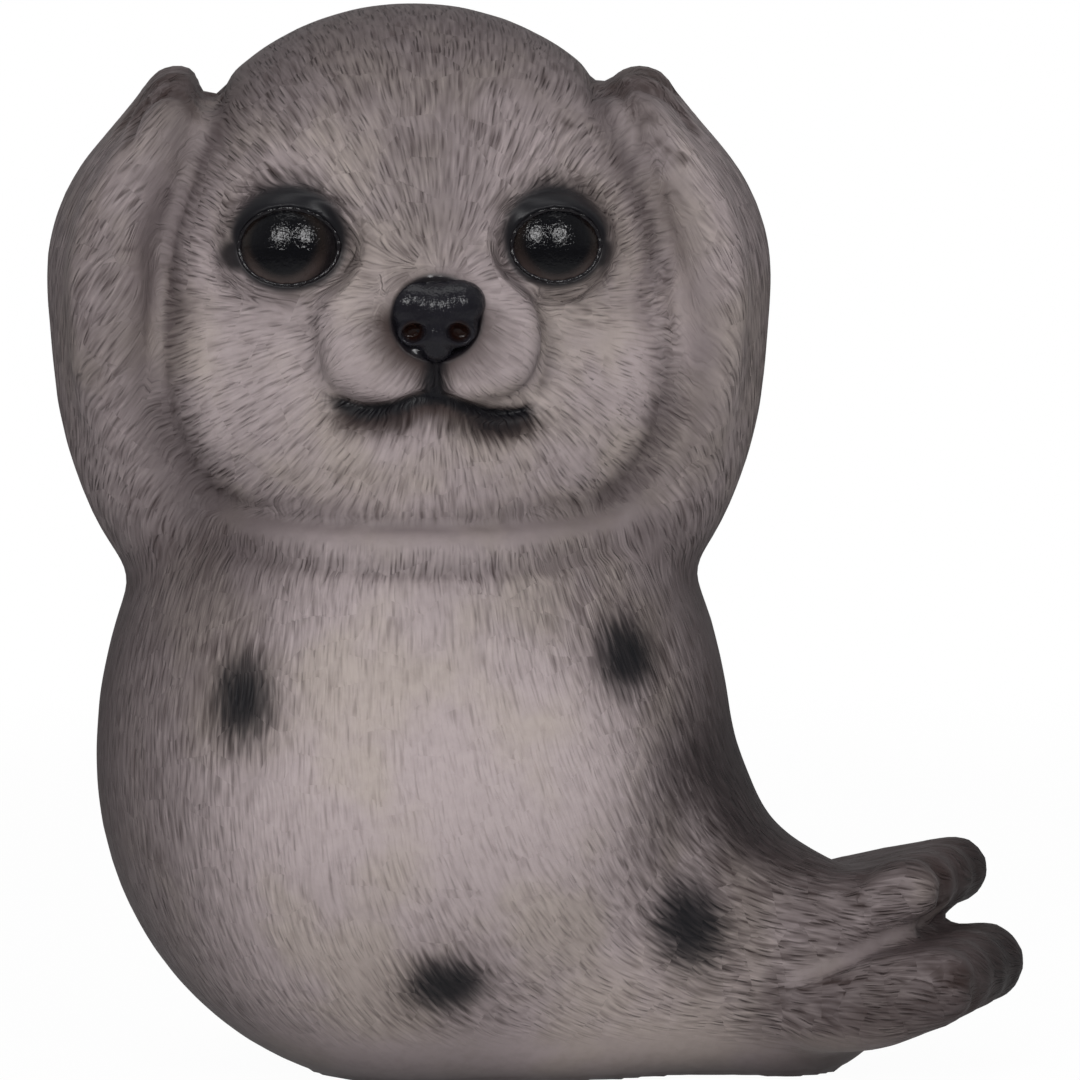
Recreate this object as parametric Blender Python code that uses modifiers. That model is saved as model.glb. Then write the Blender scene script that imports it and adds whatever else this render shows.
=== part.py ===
"""A seal pup figurine, cast in one piece, sitting up with its fore flippers held over its ears.

The form is built as a sculptor would build it. Stretched balls and tapered rolls of clay are pressed
together, the joins are smoothed over, and the face, the folds and the toes are then worked in with a
tool. X runs to the viewer's right, Y away from the viewer, and Z up from the flat base.
"""

import math

import bmesh
import bpy
import numpy as np
from mathutils import Matrix, Vector
from mathutils.bvhtree import BVHTree

MM = 0.001

# Torso: an egg that is cut flat where it stands
TORSO_WIDTH = 51.2 * MM
TORSO_DEPTH = 45.0 * MM
TORSO_ASIDE = -0.9 * MM
TORSO_WIDEST_LIFT = 25.0 * MM
TORSO_BELOW = 26.6 * MM
TORSO_ABOVE = 31.5 * MM

# Head: a skull and a broad jaw, turned a little to the viewer's right
SKULL_WIDTH = 41.2 * MM
SKULL_DEPTH = 37.0 * MM
SKULL_HEIGHT = 39.2 * MM
SKULL_LIFT = 65.5 * MM
SKULL_FORWARD = 1.5 * MM
HEAD_ASIDE = -0.9 * MM
HEAD_TURN = math.radians(1.5)
JAW_WIDTH = 41.8 * MM
JAW_DEPTH = 31.0 * MM
JAW_HEIGHT = 30.0 * MM
JAW_DROP = 9.5 * MM
JAW_FORWARD = 3.0 * MM

# Muzzle: two puffed pads under a broad bridge, with the nose on top
MUZZLE_ASIDE = 0.75 * MM
BRIDGE_WIDTH = 17.4 * MM
BRIDGE_DEPTH = 6.8 * MM
BRIDGE_HEIGHT = 15.0 * MM
BRIDGE_DROP = 5.0 * MM
PAD_WIDTH = 9.2 * MM
PAD_DEPTH = 7.2 * MM
PAD_HEIGHT = 8.0 * MM
PAD_SPREAD = 7.8 * MM
PAD_DROP = 6.4 * MM
NOSE_DROP = 3.5 * MM
NOSE_STANDS_OUT = 1.7 * MM
NOSE_LOBE = 4.9 * MM
NOSE_LOBE_SPREAD = 2.8 * MM
NOSE_LOBE_RISE = 0.9 * MM
NOSE_TIP = 2.8 * MM
NOSE_TIP_DROP = 2.0 * MM
NOSTRIL_SPREAD = 3.2 * MM
NOSTRIL_DROP = 1.0 * MM
NOSTRIL_WIDTH = 0.6 * MM
NOSTRIL_DEPTH = 0.9 * MM

# Mouth: a line under the pads that bows up in the middle
MOUTH_WIDTH = 16.2 * MM
MOUTH_DROP = 10.0 * MM
MOUTH_SAG = 1.2 * MM
MOUTH_DEPTH = 1.3 * MM
MOUTH_GAP = 0.75 * MM
MOUTH_STEPS = 12
CHEEK_CREASE_DEPTH = 0.2 * MM
CHEEK_CREASE_WIDTH = 1.1 * MM

# Eyes: balls in shallow sockets, each between a heavy upper lid and a thin lower one
EYE_BALL = 9.6 * MM
EYE_WIDTH = 7.4 * MM
EYE_HEIGHT = 5.8 * MM
EYE_RIM_WIDTH = 0.45 * MM
EYE_RIM_DEPTH = 0.35 * MM
EYE_BULGE = 2.1 * MM
EYE_SPREAD = 20.8 * MM
EYE_RISE = 1.4 * MM
SOCKET_WIDTH = 11.0 * MM
SOCKET_DEPTH = 1.1 * MM
LID_WIDTH = 7.9 * MM
LID_HEIGHT = 6.6 * MM
UPPER_LID_THICKNESS = 2.2 * MM
LOWER_LID_THICKNESS = 1.2 * MM
LID_STEPS = 8

# Fore flippers: an arm and five toes that follow the side of the head
FLIPPER_MIDDLE = -1.2 * MM
FLIPPER_FORWARD = 1.0 * MM
SHOULDER_SPREAD = 24.0 * MM
SHOULDER_LIFT = 35.0 * MM
SHOULDER_THICKNESS = 12.0 * MM
UPPER_ARM_SPREAD = 34.0 * MM
UPPER_ARM_LIFT = 40.8 * MM
UPPER_ARM_THICKNESS = 9.8 * MM
ELBOW_SPREAD = 43.3 * MM
ELBOW_LIFT = 47.8 * MM
ELBOW_THICKNESS = 9.2 * MM
PALM_SPREAD = 48.5 * MM
PALM_LIFT = 59.0 * MM
PALM_THICKNESS = 8.6 * MM
PALM_DEPTH = 16.6 * MM
KNUCKLE_SPREAD = 48.4 * MM
KNUCKLE_LIFT = 68.0 * MM
KNUCKLE_THICKNESS = 7.4 * MM
TOE_TIP_SPREAD = 36.4 * MM
TOE_TIP_LIFT = 77.6 * MM
TOE_TIP_THICKNESS = 5.6 * MM
TOES = 5
TOE_PITCH = 3.4 * MM
TOE_TIP_FALL = 0.5 * MM
TOE_TIP_CURVE = 0.3
TOE_SLIMMER = 1.0 * MM

# Skin between a flipper and the side of the head
WEB_SPREAD = 36.0 * MM
WEB_THICKNESS = 8.6 * MM
WEB_BACK = 2.6 * MM
WEB_FOOT_LIFT = 45.0 * MM
WEB_TOP_LIFT = 70.0 * MM

# Hind body: it sweeps to the viewer's right along the ground and ends in two flippers
HIP_THICKNESS = 32.0 * MM
HIP_LIFT = 14.5 * MM
FLANK_REACH = 17.3 * MM
FLANK_THICKNESS = 18.8 * MM
FLANK_DEPTH = 26.0 * MM
FLANK_LIFT = 20.3 * MM
RUMP_REACH = 16.5 * MM
RUMP_THICKNESS = 28.0 * MM
RUMP_LIFT = 12.0 * MM
TAIL_REACH = 31.0 * MM
TAIL_THICKNESS = 17.6 * MM
TAIL_LIFT = 7.7 * MM
HIND_ROOT_REACH = 24.0 * MM
HIND_ROOT_FRONT = 4.6 * MM
HIND_ROOT_THICKNESS = 5.0 * MM
FRONT_TOE_ROOT_THICKNESS = 7.6 * MM
HIND_PALM_REACH = 36.0 * MM
HIND_TOES = 4
HIND_TOE_PITCH = 4.0 * MM
HIND_TOE_STEP = 1.5 * MM
UPPER_ROOT_LIFT = 10.8 * MM
UPPER_PALM_LIFT = 12.5 * MM
UPPER_PALM_THICKNESS = 6.4 * MM
UPPER_TIP_REACH = 42.7 * MM
UPPER_TIP_LIFT = 14.7 * MM
UPPER_TIP_THICKNESS = 5.8 * MM
UPPER_BACK = 0.8 * MM
LOWER_ROOT_LIFT = 6.0 * MM
LOWER_PALM_LIFT = 6.3 * MM
LOWER_PALM_THICKNESS = 7.6 * MM
LOWER_TIP_REACH = 44.8 * MM
LOWER_TIP_LIFT = 7.9 * MM
LOWER_TIP_THICKNESS = 6.8 * MM
LOWER_BACK = -2.0 * MM

# Head edge: the groove between the side of the head and a raised flipper
HEAD_EDGE_SPREAD = 32.4 * MM
HEAD_EDGE_BOW = 4.4 * MM
HEAD_EDGE_TOP_LIFT = 77.4 * MM
HEAD_EDGE_FOOT_LIFT = 47.6 * MM
HEAD_EDGE_WIDTH = 1.0 * MM
HEAD_EDGE_DEPTH = 0.8 * MM
HEAD_EDGE_STEPS = 10

# Neck: two soft folds under the chin
FOLD_DEPTH = 0.6 * MM
FOLD_WIDTH = 0.8 * MM
FOLD_SPACING = 3.4 * MM
CHIN_FOLD_LIFT = 45.6 * MM
FOLD_RISE = 1.6 * MM
FOLD_REACH = 18.5 * MM
FOLD_STEPS = 8

# Fineness of the surface
CLAY_GRAIN = 0.8 * MM
LIMB_GRAIN = 0.6 * MM
FACE_GRAIN = 0.42 * MM
BODY_GRAIN = 1.0 * MM
BODY_PASSES = 30
CLAY_PASSES = 5
LIMB_PASSES = 7
FACE_PASSES = 2
STROKE_STEP = 0.3 * MM
STROKE_REACH = 3
STROKE_TAPER = 0.2
MOST_FACETS = 11600

# Finish: airbrushed resin, greyish brown all over
RESIN_COLOUR = (0.3, 0.25, 0.245, 1)
RESIN_ROUGHNESS = 0.55

FORWARD = Vector((0, -1, 0))
UP = Vector((0, 0, 1))


def clear_scene():
    """Removes whatever the scene holds."""
    for old in list(bpy.data.objects):
        bpy.data.objects.remove(old)


def apply_modifier(body, kind, **settings):
    """Adds one modifier with these settings and applies it."""
    modifier = body.modifiers.new(kind.title(), kind)
    for setting, value in settings.items():
        setattr(modifier, setting, value)
    bpy.context.view_layer.objects.active = body
    bpy.ops.object.modifier_apply(modifier=modifier.name)


def ball(centre, size, turn=(0, 0, 0)):
    """A stretched ball of clay: its full width, depth and height, turned about its centre."""
    bpy.ops.mesh.primitive_uv_sphere_add(segments=32, ring_count=16, radius=0.5)
    clay = bpy.context.object
    spin = Matrix.Rotation(turn[2], 4, "Z") @ Matrix.Rotation(turn[1], 4, "Y") @ Matrix.Rotation(turn[0], 4, "X")
    clay.data.transform(Matrix.Translation(centre) @ spin @ Matrix.Diagonal((*size, 1)))
    return clay


def egg(centre, width, depth, below, above):
    """A ball of clay that reaches a different distance below its widest place than above it."""
    clay = ball((0, 0, 0), (width, depth, 2))
    for vertex in clay.data.vertices:
        vertex.co.z *= above if vertex.co.z > 0 else below
    clay.data.transform(Matrix.Translation(centre))
    return clay


def roll(path, widths):
    """A round roll of clay along a smooth path, as wide as given at each point, with round ends."""
    line = bpy.data.curves.new("roll", "CURVE")
    line.dimensions = "3D"
    line.bevel_depth = 0.5 * MM
    line.bevel_resolution = 5
    line.use_fill_caps = True
    spline = line.splines.new("BEZIER")
    spline.bezier_points.add(len(path) - 1)
    for knot, place, width in zip(spline.bezier_points, path, widths):
        knot.co = place
        knot.radius = width / MM
        knot.handle_left_type = knot.handle_right_type = "AUTO"
    spline.radius_interpolation = "CARDINAL"
    guide = bpy.data.objects.new("roll", line)
    bpy.context.scene.collection.objects.link(guide)
    graph = bpy.context.evaluated_depsgraph_get()
    clay = bpy.data.objects.new("roll", bpy.data.meshes.new_from_object(guide.evaluated_get(graph)))
    bpy.context.scene.collection.objects.link(clay)
    bpy.data.objects.remove(guide)
    ends = [ball(place, (width,) * 3) for place, width in ((path[0], widths[0]), (path[-1], widths[-1]))]
    return [clay, *ends]


def wrapped(pieces):
    """The tightest skin that can be stretched over these pieces."""
    shell = bmesh.new()
    for piece in pieces:
        shell.from_mesh(piece.data)
    hull = bmesh.ops.convex_hull(shell, input=shell.verts[:])
    bmesh.ops.delete(shell, geom=hull["geom_interior"], context="VERTS")
    shell.to_mesh(pieces[0].data)
    shell.free()
    for piece in pieces[1:]:
        bpy.data.objects.remove(piece)
    return pieces[0]


def press_together(pieces, grain, passes):
    """Makes one closed skin round all the pieces and smooths the joins between them."""
    bpy.ops.object.select_all(action="DESELECT")
    for piece in pieces:
        piece.select_set(True)
    bpy.context.view_layer.objects.active = pieces[0]
    bpy.ops.object.join()
    body = pieces[0]
    apply_modifier(body, "REMESH", mode="VOXEL", voxel_size=grain)
    apply_modifier(body, "SMOOTH", factor=0.5, iterations=passes)
    return body


def torso_clay():
    """The belly and the chest, as one egg."""
    return [egg((TORSO_ASIDE, 0, TORSO_WIDEST_LIFT), TORSO_WIDTH, TORSO_DEPTH, TORSO_BELOW, TORSO_ABOVE)]


def head_place():
    """From the head's own frame, with its origin in the middle of the skull, to the figurine's."""
    centre = Vector((HEAD_ASIDE, -SKULL_FORWARD, SKULL_LIFT))
    return Matrix.Translation(centre) @ Matrix.Rotation(HEAD_TURN, 4, "Z")


def head_clay():
    """The skull and the broad jaw below it."""
    place = head_place()
    return [
        ball(place @ Vector((0, 0, 0)), (SKULL_WIDTH, SKULL_DEPTH, SKULL_HEIGHT)),
        ball(place @ Vector((0, -JAW_FORWARD, -JAW_DROP)), (JAW_WIDTH, JAW_DEPTH, JAW_HEIGHT)),
    ]


def skull_inset(back):
    """How far the skull's side has curved in at this depth behind its widest place."""
    share = min(abs(back) / (SKULL_DEPTH / 2), 0.95)
    return SKULL_WIDTH / 2 * (1 - math.sqrt(1 - share * share))


def beside_head(side, spread, back, lift):
    """A point on a raised flipper, on the viewer's left for side -1 and on the right for side 1."""
    return Vector((FLIPPER_MIDDLE + side * spread / 2, back - FLIPPER_FORWARD, lift))


def arm_clay(side):
    """The arm and the palm, as one flattened roll that is bent round the side of the head."""
    path = [
        beside_head(side, SHOULDER_SPREAD, FLIPPER_FORWARD, SHOULDER_LIFT),
        beside_head(side, UPPER_ARM_SPREAD, FLIPPER_FORWARD, UPPER_ARM_LIFT),
        beside_head(side, ELBOW_SPREAD, FLIPPER_FORWARD, ELBOW_LIFT),
        beside_head(side, PALM_SPREAD, FLIPPER_FORWARD, PALM_LIFT),
        beside_head(side, KNUCKLE_SPREAD, FLIPPER_FORWARD, KNUCKLE_LIFT),
        beside_head(side, TOE_TIP_SPREAD, FLIPPER_FORWARD, TOE_TIP_LIFT),
    ]
    widths = [SHOULDER_THICKNESS, UPPER_ARM_THICKNESS, ELBOW_THICKNESS, PALM_THICKNESS, KNUCKLE_THICKNESS]
    clay = roll(path, [*widths, TOE_TIP_THICKNESS - TOE_SLIMMER])
    for piece in clay:
        for vertex in piece.data.vertices:
            vertex.co.y *= PALM_DEPTH / PALM_THICKNESS
            vertex.co.x -= side * skull_inset(vertex.co.y)
            vertex.co.y -= FLIPPER_FORWARD
    return clay


def toe_clay(side):
    """The five toes of a raised flipper, from the elbow to the tips, side by side round the head."""
    clay = []
    for toe in range(TOES):
        offset = toe - (TOES - 1) / 2
        back = offset * TOE_PITCH
        inset = 2 * skull_inset(back)
        path = [
            beside_head(side, ELBOW_SPREAD - inset, back / 2, ELBOW_LIFT),
            beside_head(side, PALM_SPREAD - inset, back, PALM_LIFT),
            beside_head(side, KNUCKLE_SPREAD - inset, back, KNUCKLE_LIFT),
            beside_head(side, TOE_TIP_SPREAD - inset * TOE_TIP_CURVE, back, TOE_TIP_LIFT - TOE_TIP_FALL * offset**2),
        ]
        widths = [ELBOW_THICKNESS, PALM_THICKNESS, KNUCKLE_THICKNESS]
        clay += roll(path, [*(width - TOE_SLIMMER for width in widths), TOE_TIP_THICKNESS])
    return clay


def web_clay(side):
    """The skin that closes the gap between a flipper and the side of the head."""
    foot = beside_head(side, WEB_SPREAD, WEB_BACK, WEB_FOOT_LIFT)
    middle = beside_head(side, WEB_SPREAD, WEB_BACK, (WEB_FOOT_LIFT + WEB_TOP_LIFT) / 2)
    top = beside_head(side, WEB_SPREAD - WEB_THICKNESS / 2, WEB_BACK, WEB_TOP_LIFT)
    return roll([foot, middle, top], [WEB_THICKNESS] * 3)


def hind_clay():
    """The hips and the tail root, along the ground."""
    path = [
        Vector((0, 0, HIP_LIFT)),
        Vector((RUMP_REACH, 0, RUMP_LIFT)),
        Vector((TAIL_REACH, 0, TAIL_LIFT)),
    ]
    flank = ball((FLANK_REACH, 0, FLANK_LIFT), (FLANK_THICKNESS, FLANK_DEPTH, FLANK_THICKNESS))
    return [flank, *roll(path, [HIP_THICKNESS, RUMP_THICKNESS, TAIL_THICKNESS])]


def hind_flipper_clay(middle, knuckles, widths):
    """A hind flipper of toes that are longer towards the back, through root, palm and tip."""
    clay = []
    for toe in range(HIND_TOES):
        back = middle + (toe - (HIND_TOES - 1) / 2) * HIND_TOE_PITCH
        short = (HIND_TOES - 1 - toe) * HIND_TOE_STEP
        (root, root_lift), (palm, palm_lift), (tip, tip_lift) = knuckles
        path = [
            Vector((root, max(back, -HIND_ROOT_FRONT), root_lift)),
            Vector((palm - short / 2, back, palm_lift)),
            Vector((tip - short, back, tip_lift)),
        ]
        root_width = HIND_ROOT_THICKNESS if toe else FRONT_TOE_ROOT_THICKNESS
        clay += roll(path, [root_width, *widths])
    return clay


def upper_hind_clay():
    """The upper hind flipper, which lies further back."""
    knuckles = (
        (HIND_ROOT_REACH, UPPER_ROOT_LIFT),
        (HIND_PALM_REACH, UPPER_PALM_LIFT),
        (UPPER_TIP_REACH, UPPER_TIP_LIFT),
    )
    return hind_flipper_clay(UPPER_BACK, knuckles, [UPPER_PALM_THICKNESS, UPPER_TIP_THICKNESS])


def lower_hind_clay():
    """The lower hind flipper, which is thicker and longer."""
    knuckles = (
        (HIND_ROOT_REACH, LOWER_ROOT_LIFT),
        (HIND_PALM_REACH, LOWER_PALM_LIFT),
        (LOWER_TIP_REACH, LOWER_TIP_LIFT),
    )
    return hind_flipper_clay(LOWER_BACK, knuckles, [LOWER_PALM_THICKNESS, LOWER_TIP_THICKNESS])


class Surface:
    """The skin as it stands, to find where a feature sits on it."""

    def __init__(self, body):
        graph = bpy.context.evaluated_depsgraph_get()
        self.tree = BVHTree.FromObject(body, graph)

    def in_front(self, aside, rise):
        """The place and the outward direction on the face at this offset from the skull's middle."""
        place = head_place()
        start = place @ Vector((aside, -3 * SKULL_DEPTH, rise))
        towards = (place.to_3x3() @ -FORWARD).normalized()
        spot, normal, _, _ = self.tree.ray_cast(start, towards)
        return spot, normal


def muzzle_clay(skin):
    """The bridge of the muzzle and the two pads."""
    bridge, _ = skin.in_front(MUZZLE_ASIDE, -BRIDGE_DROP)
    clay = [ball(bridge, (BRIDGE_WIDTH, BRIDGE_DEPTH, BRIDGE_HEIGHT))]
    for side in (-1, 1):
        pad, _ = skin.in_front(MUZZLE_ASIDE + side * PAD_SPREAD / 2, -PAD_DROP)
        clay.append(ball(pad, (PAD_WIDTH, PAD_DEPTH, PAD_HEIGHT)))
    return clay


def nose_clay(skin):
    """The nose: a wedge stretched over two upper lobes and a narrow lower tip."""
    spot, _ = skin.in_front(MUZZLE_ASIDE, -NOSE_DROP)
    middle = spot + FORWARD * (NOSE_STANDS_OUT - NOSE_LOBE / 2)
    aside = Vector((NOSE_LOBE_SPREAD / 2, 0, 0))
    balls = [
        ball(middle - aside + UP * NOSE_LOBE_RISE, (NOSE_LOBE,) * 3),
        ball(middle + aside + UP * NOSE_LOBE_RISE, (NOSE_LOBE,) * 3),
        ball(middle - UP * NOSE_TIP_DROP, (NOSE_TIP, NOSE_LOBE, NOSE_TIP)),
    ]
    return [wrapped(balls)]


def lid_path(skin, side, rise, width, height):
    """Half of an oval round an eye, from corner to corner: above for rise 1 and below for rise -1."""
    path = []
    for step in range(LID_STEPS + 1):
        turn = math.pi * step / LID_STEPS
        aside = (EYE_SPREAD + width * math.cos(turn)) / 2
        spot, _ = skin.in_front(side * aside, EYE_RISE + rise * height / 2 * math.sin(turn))
        path.append(spot)
    return path


def eye_clay(skin):
    """The two eyeballs, each between an upper and a lower lid laid on the face."""
    clay = []
    for side in (-1, 1):
        spot, outward = skin.in_front(side * EYE_SPREAD / 2, EYE_RISE)
        clay.append(ball(spot - outward * (EYE_BALL / 2 - EYE_BULGE), (EYE_BALL,) * 3))
        for rise, thickness in ((1, UPPER_LID_THICKNESS), (-1, LOWER_LID_THICKNESS)):
            path = lid_path(skin, side, rise, LID_WIDTH, LID_HEIGHT)
            clay += roll(path, [thickness] * len(path))
    return clay


def stroke(body, path, width, depth):
    """Draws a round tool along a path, pressing the skin in by this depth and lighter at both ends."""
    line = []
    for start, end in zip(path, path[1:]):
        steps = max(1, math.ceil((end - start).length / STROKE_STEP))
        line += [start.lerp(end, step / steps) for step in range(steps)]
    line = np.array([*line, path[-1]])
    along = np.linspace(0, 1, len(line))
    pressure = depth * np.minimum(1, (0.5 - abs(along - 0.5) + STROKE_TAPER / 4) / STROKE_TAPER)
    count = len(body.data.vertices)
    places, normals = np.empty(count * 3), np.empty(count * 3)
    body.data.vertices.foreach_get("co", places)
    body.data.vertices.foreach_get("normal", normals)
    places, normals = places.reshape(-1, 3), normals.reshape(-1, 3)
    reach = STROKE_REACH * width
    near = np.all((places > line.min(axis=0) - reach) & (places < line.max(axis=0) + reach), axis=1)
    gaps = np.linalg.norm(places[near][:, None] - line[None], axis=2)
    press = pressure[gaps.argmin(axis=1)] * np.exp(-((gaps.min(axis=1) / width) ** 2))
    places[near] -= normals[near] * press[:, None]
    body.data.vertices.foreach_set("co", places.ravel())
    body.data.update()


def dent(body, spot, width, depth):
    """Presses one round dent into the skin."""
    for vertex in body.data.vertices:
        share = math.exp(-(((vertex.co - spot).length / width) ** 2))
        if share > 0.001:
            vertex.co -= vertex.normal * depth * share
    body.data.update()


def mouth_path(skin):
    """The line of the mouth: two shallow arcs that meet under the nose."""
    path = []
    for step in range(-MOUTH_STEPS, MOUTH_STEPS + 1):
        aside = step / MOUTH_STEPS
        sag = MOUTH_SAG * math.sin(math.pi * abs(aside))
        spot, _ = skin.in_front(MUZZLE_ASIDE + aside * MOUTH_WIDTH / 2, -MOUTH_DROP - sag)
        path.append(spot)
    return path


def work_mouth(body):
    """Presses in the mouth, the line below the nose and the creases beside the pads."""
    skin = Surface(body)
    stroke(body, mouth_path(skin), MOUTH_GAP, MOUTH_DEPTH)
    drops = (NOSE_DROP + NOSE_TIP_DROP, PAD_DROP, MOUTH_DROP)
    stroke(body, [skin.in_front(MUZZLE_ASIDE, -drop)[0] for drop in drops], MOUTH_GAP, MOUTH_DEPTH / 2)
    drops = (BRIDGE_DROP, PAD_DROP, MOUTH_DROP)
    for side in (-1, 1):
        aside = MUZZLE_ASIDE + side * (PAD_SPREAD + PAD_WIDTH) / 2
        crease = [skin.in_front(aside, -drop)[0] for drop in drops]
        stroke(body, crease, CHEEK_CREASE_WIDTH, CHEEK_CREASE_DEPTH)


def work_nostrils(body):
    """Presses in the two nostrils."""
    skin = Surface(body)
    for side in (-1, 1):
        spot, _ = skin.in_front(MUZZLE_ASIDE + side * NOSTRIL_SPREAD / 2, -NOSE_DROP - NOSTRIL_DROP)
        dent(body, spot, NOSTRIL_WIDTH, NOSTRIL_DEPTH)


def work_eyes(body):
    """Presses in a fine line between each eyeball and its lids."""
    skin = Surface(body)
    for side in (-1, 1):
        for rise in (1, -1):
            path = lid_path(skin, side, rise, EYE_WIDTH, EYE_HEIGHT)
            stroke(body, path, EYE_RIM_WIDTH, EYE_RIM_DEPTH)


def work_folds(body):
    """Presses two folds into the neck, which rise towards the shoulders."""
    skin = Surface(body)
    for lift in (CHIN_FOLD_LIFT, CHIN_FOLD_LIFT - FOLD_SPACING):
        path = []
        for step in range(-FOLD_STEPS, FOLD_STEPS + 1):
            aside = step / FOLD_STEPS
            spot, _ = skin.in_front(aside * FOLD_REACH, lift + FOLD_RISE * aside**2 - SKULL_LIFT)
            path.append(spot)
        stroke(body, path, FOLD_WIDTH, FOLD_DEPTH)


def work_head_edges(body):
    """Presses a groove between the head and each raised flipper."""
    skin = Surface(body)
    for side in (-1, 1):
        path = []
        for step in range(HEAD_EDGE_STEPS + 1):
            share = step / HEAD_EDGE_STEPS
            aside = HEAD_EDGE_SPREAD / 2 + HEAD_EDGE_BOW * math.sin(math.pi * share)
            lift = HEAD_EDGE_TOP_LIFT + (HEAD_EDGE_FOOT_LIFT - HEAD_EDGE_TOP_LIFT) * share
            spot, _ = skin.in_front(side * aside, lift - SKULL_LIFT)
            path.append(spot)
        stroke(body, path, HEAD_EDGE_WIDTH, HEAD_EDGE_DEPTH)


def press_sockets(body):
    """Presses a shallow dish into the face for each eye."""
    skin = Surface(body)
    for side in (-1, 1):
        spot, _ = skin.in_front(side * EYE_SPREAD / 2, EYE_RISE)
        dent(body, spot, SOCKET_WIDTH / 2, SOCKET_DEPTH)


def cut_base_flat(body):
    """Cuts away what lies below the ground and closes the cut with one flat face."""
    shell = bmesh.new()
    shell.from_mesh(body.data)
    everything = shell.verts[:] + shell.edges[:] + shell.faces[:]
    bmesh.ops.bisect_plane(shell, geom=everything, plane_co=(0, 0, 0), plane_no=(0, 0, -1), clear_outer=True)
    rim = [edge for edge in shell.edges if edge.is_boundary]
    bmesh.ops.contextual_create(shell, geom=rim)
    bmesh.ops.recalc_face_normals(shell, faces=shell.faces[:])
    shell.to_mesh(body.data)
    shell.free()


def centre_on_base(body):
    """Moves the figurine so that the origin is under the middle of it."""
    corners = np.array([vertex.co for vertex in body.data.vertices])
    low, high = corners.min(axis=0), corners.max(axis=0)
    middle = (low + high) / 2
    body.data.transform(Matrix.Translation((-middle[0], -middle[1], 0)))


def thin_out(body):
    """Merges the facets where the skin is nearly flat and keeps them where it bends."""
    facets = sum(len(face.vertices) - 2 for face in body.data.polygons)
    apply_modifier(body, "DECIMATE", ratio=MOST_FACETS / facets)


def paint(body):
    """Gives the figurine its material."""
    resin = bpy.data.materials.new("painted_resin")
    resin.use_nodes = True
    shader = resin.node_tree.nodes["Principled BSDF"]
    shader.inputs["Base Color"].default_value = RESIN_COLOUR
    shader.inputs["Roughness"].default_value = RESIN_ROUGHNESS
    body.data.materials.clear()
    body.data.materials.append(resin)


def build():
    """The whole figurine, as one object."""
    clear_scene()
    body = press_together(torso_clay() + hind_clay(), BODY_GRAIN, BODY_PASSES)
    clay = head_clay()
    for side in (-1, 1):
        clay += arm_clay(side) + web_clay(side)
    body = press_together([body, *clay], CLAY_GRAIN, CLAY_PASSES)
    press_sockets(body)
    clay = muzzle_clay(Surface(body)) + toe_clay(-1) + toe_clay(1)
    clay += upper_hind_clay() + lower_hind_clay()
    body = press_together([body, *clay], LIMB_GRAIN, LIMB_PASSES)
    work_mouth(body)
    skin = Surface(body)
    body = press_together([body, *nose_clay(skin), *eye_clay(skin)], FACE_GRAIN, FACE_PASSES)
    work_nostrils(body)
    work_eyes(body)
    work_folds(body)
    work_head_edges(body)
    body.name = body.data.name = "seal_figurine"
    thin_out(body)
    cut_base_flat(body)
    centre_on_base(body)
    paint(body)
    return body


build()
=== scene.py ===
# %% [markdown]
# # A seal pup cast in resin
#
# The real ornament is one casting. Fur is engraved all over it, thin paint is sprayed on in soft
# clouds, a dark wash is rubbed into the grooves, and the eyes and the nose are varnished. This lesson
# dresses the packed solid in the same order: clay, small tools, paint, varnish, and the studio last.

# %% Load the frame
import math

import bpy
import numpy as np
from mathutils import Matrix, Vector
from mathutils.bvhtree import BVHTree


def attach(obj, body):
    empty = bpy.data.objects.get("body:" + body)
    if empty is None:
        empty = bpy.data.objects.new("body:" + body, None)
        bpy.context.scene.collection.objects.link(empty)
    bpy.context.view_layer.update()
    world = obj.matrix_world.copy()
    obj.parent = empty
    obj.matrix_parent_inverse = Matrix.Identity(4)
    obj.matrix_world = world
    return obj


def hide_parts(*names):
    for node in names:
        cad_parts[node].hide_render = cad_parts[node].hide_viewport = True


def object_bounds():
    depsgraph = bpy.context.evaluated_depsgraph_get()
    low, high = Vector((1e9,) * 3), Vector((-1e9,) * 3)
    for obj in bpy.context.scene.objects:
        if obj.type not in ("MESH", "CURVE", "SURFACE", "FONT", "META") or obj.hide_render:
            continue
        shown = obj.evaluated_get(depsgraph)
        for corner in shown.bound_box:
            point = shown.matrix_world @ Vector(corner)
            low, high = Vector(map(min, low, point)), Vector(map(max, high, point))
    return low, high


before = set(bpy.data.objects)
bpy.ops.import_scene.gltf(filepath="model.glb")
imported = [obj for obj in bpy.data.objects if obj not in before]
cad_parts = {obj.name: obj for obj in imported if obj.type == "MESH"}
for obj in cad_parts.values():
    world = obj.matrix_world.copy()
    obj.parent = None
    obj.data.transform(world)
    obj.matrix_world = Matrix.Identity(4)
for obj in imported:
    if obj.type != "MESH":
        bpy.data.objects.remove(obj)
cad_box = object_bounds()
print("solid box in mm:", [[round(v * 1000, 2) for v in corner] for corner in cad_box])

# %% [markdown]
# ## Helpers for one piece at a time
#
# Operators act on whatever is selected, and the frame arrives selected. So each helper first
# deselects everything and then takes hold of one piece. Places are read in millimetres, because the
# ornament is as small as a fist.


# %% Take hold of a piece
def hold(piece):
    if bpy.context.object and bpy.context.object.mode != "OBJECT":
        bpy.ops.object.mode_set(mode="OBJECT")
    bpy.ops.object.select_all(action="DESELECT")
    piece.select_set(True)
    bpy.context.view_layer.objects.active = piece


def finish_with(piece, kind, **settings):
    hold(piece)
    modifier = piece.modifiers.new(kind.title(), kind)
    for name, value in settings.items():
        setattr(modifier, name, value)
    bpy.ops.object.modifier_apply(modifier=modifier.name)


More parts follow.
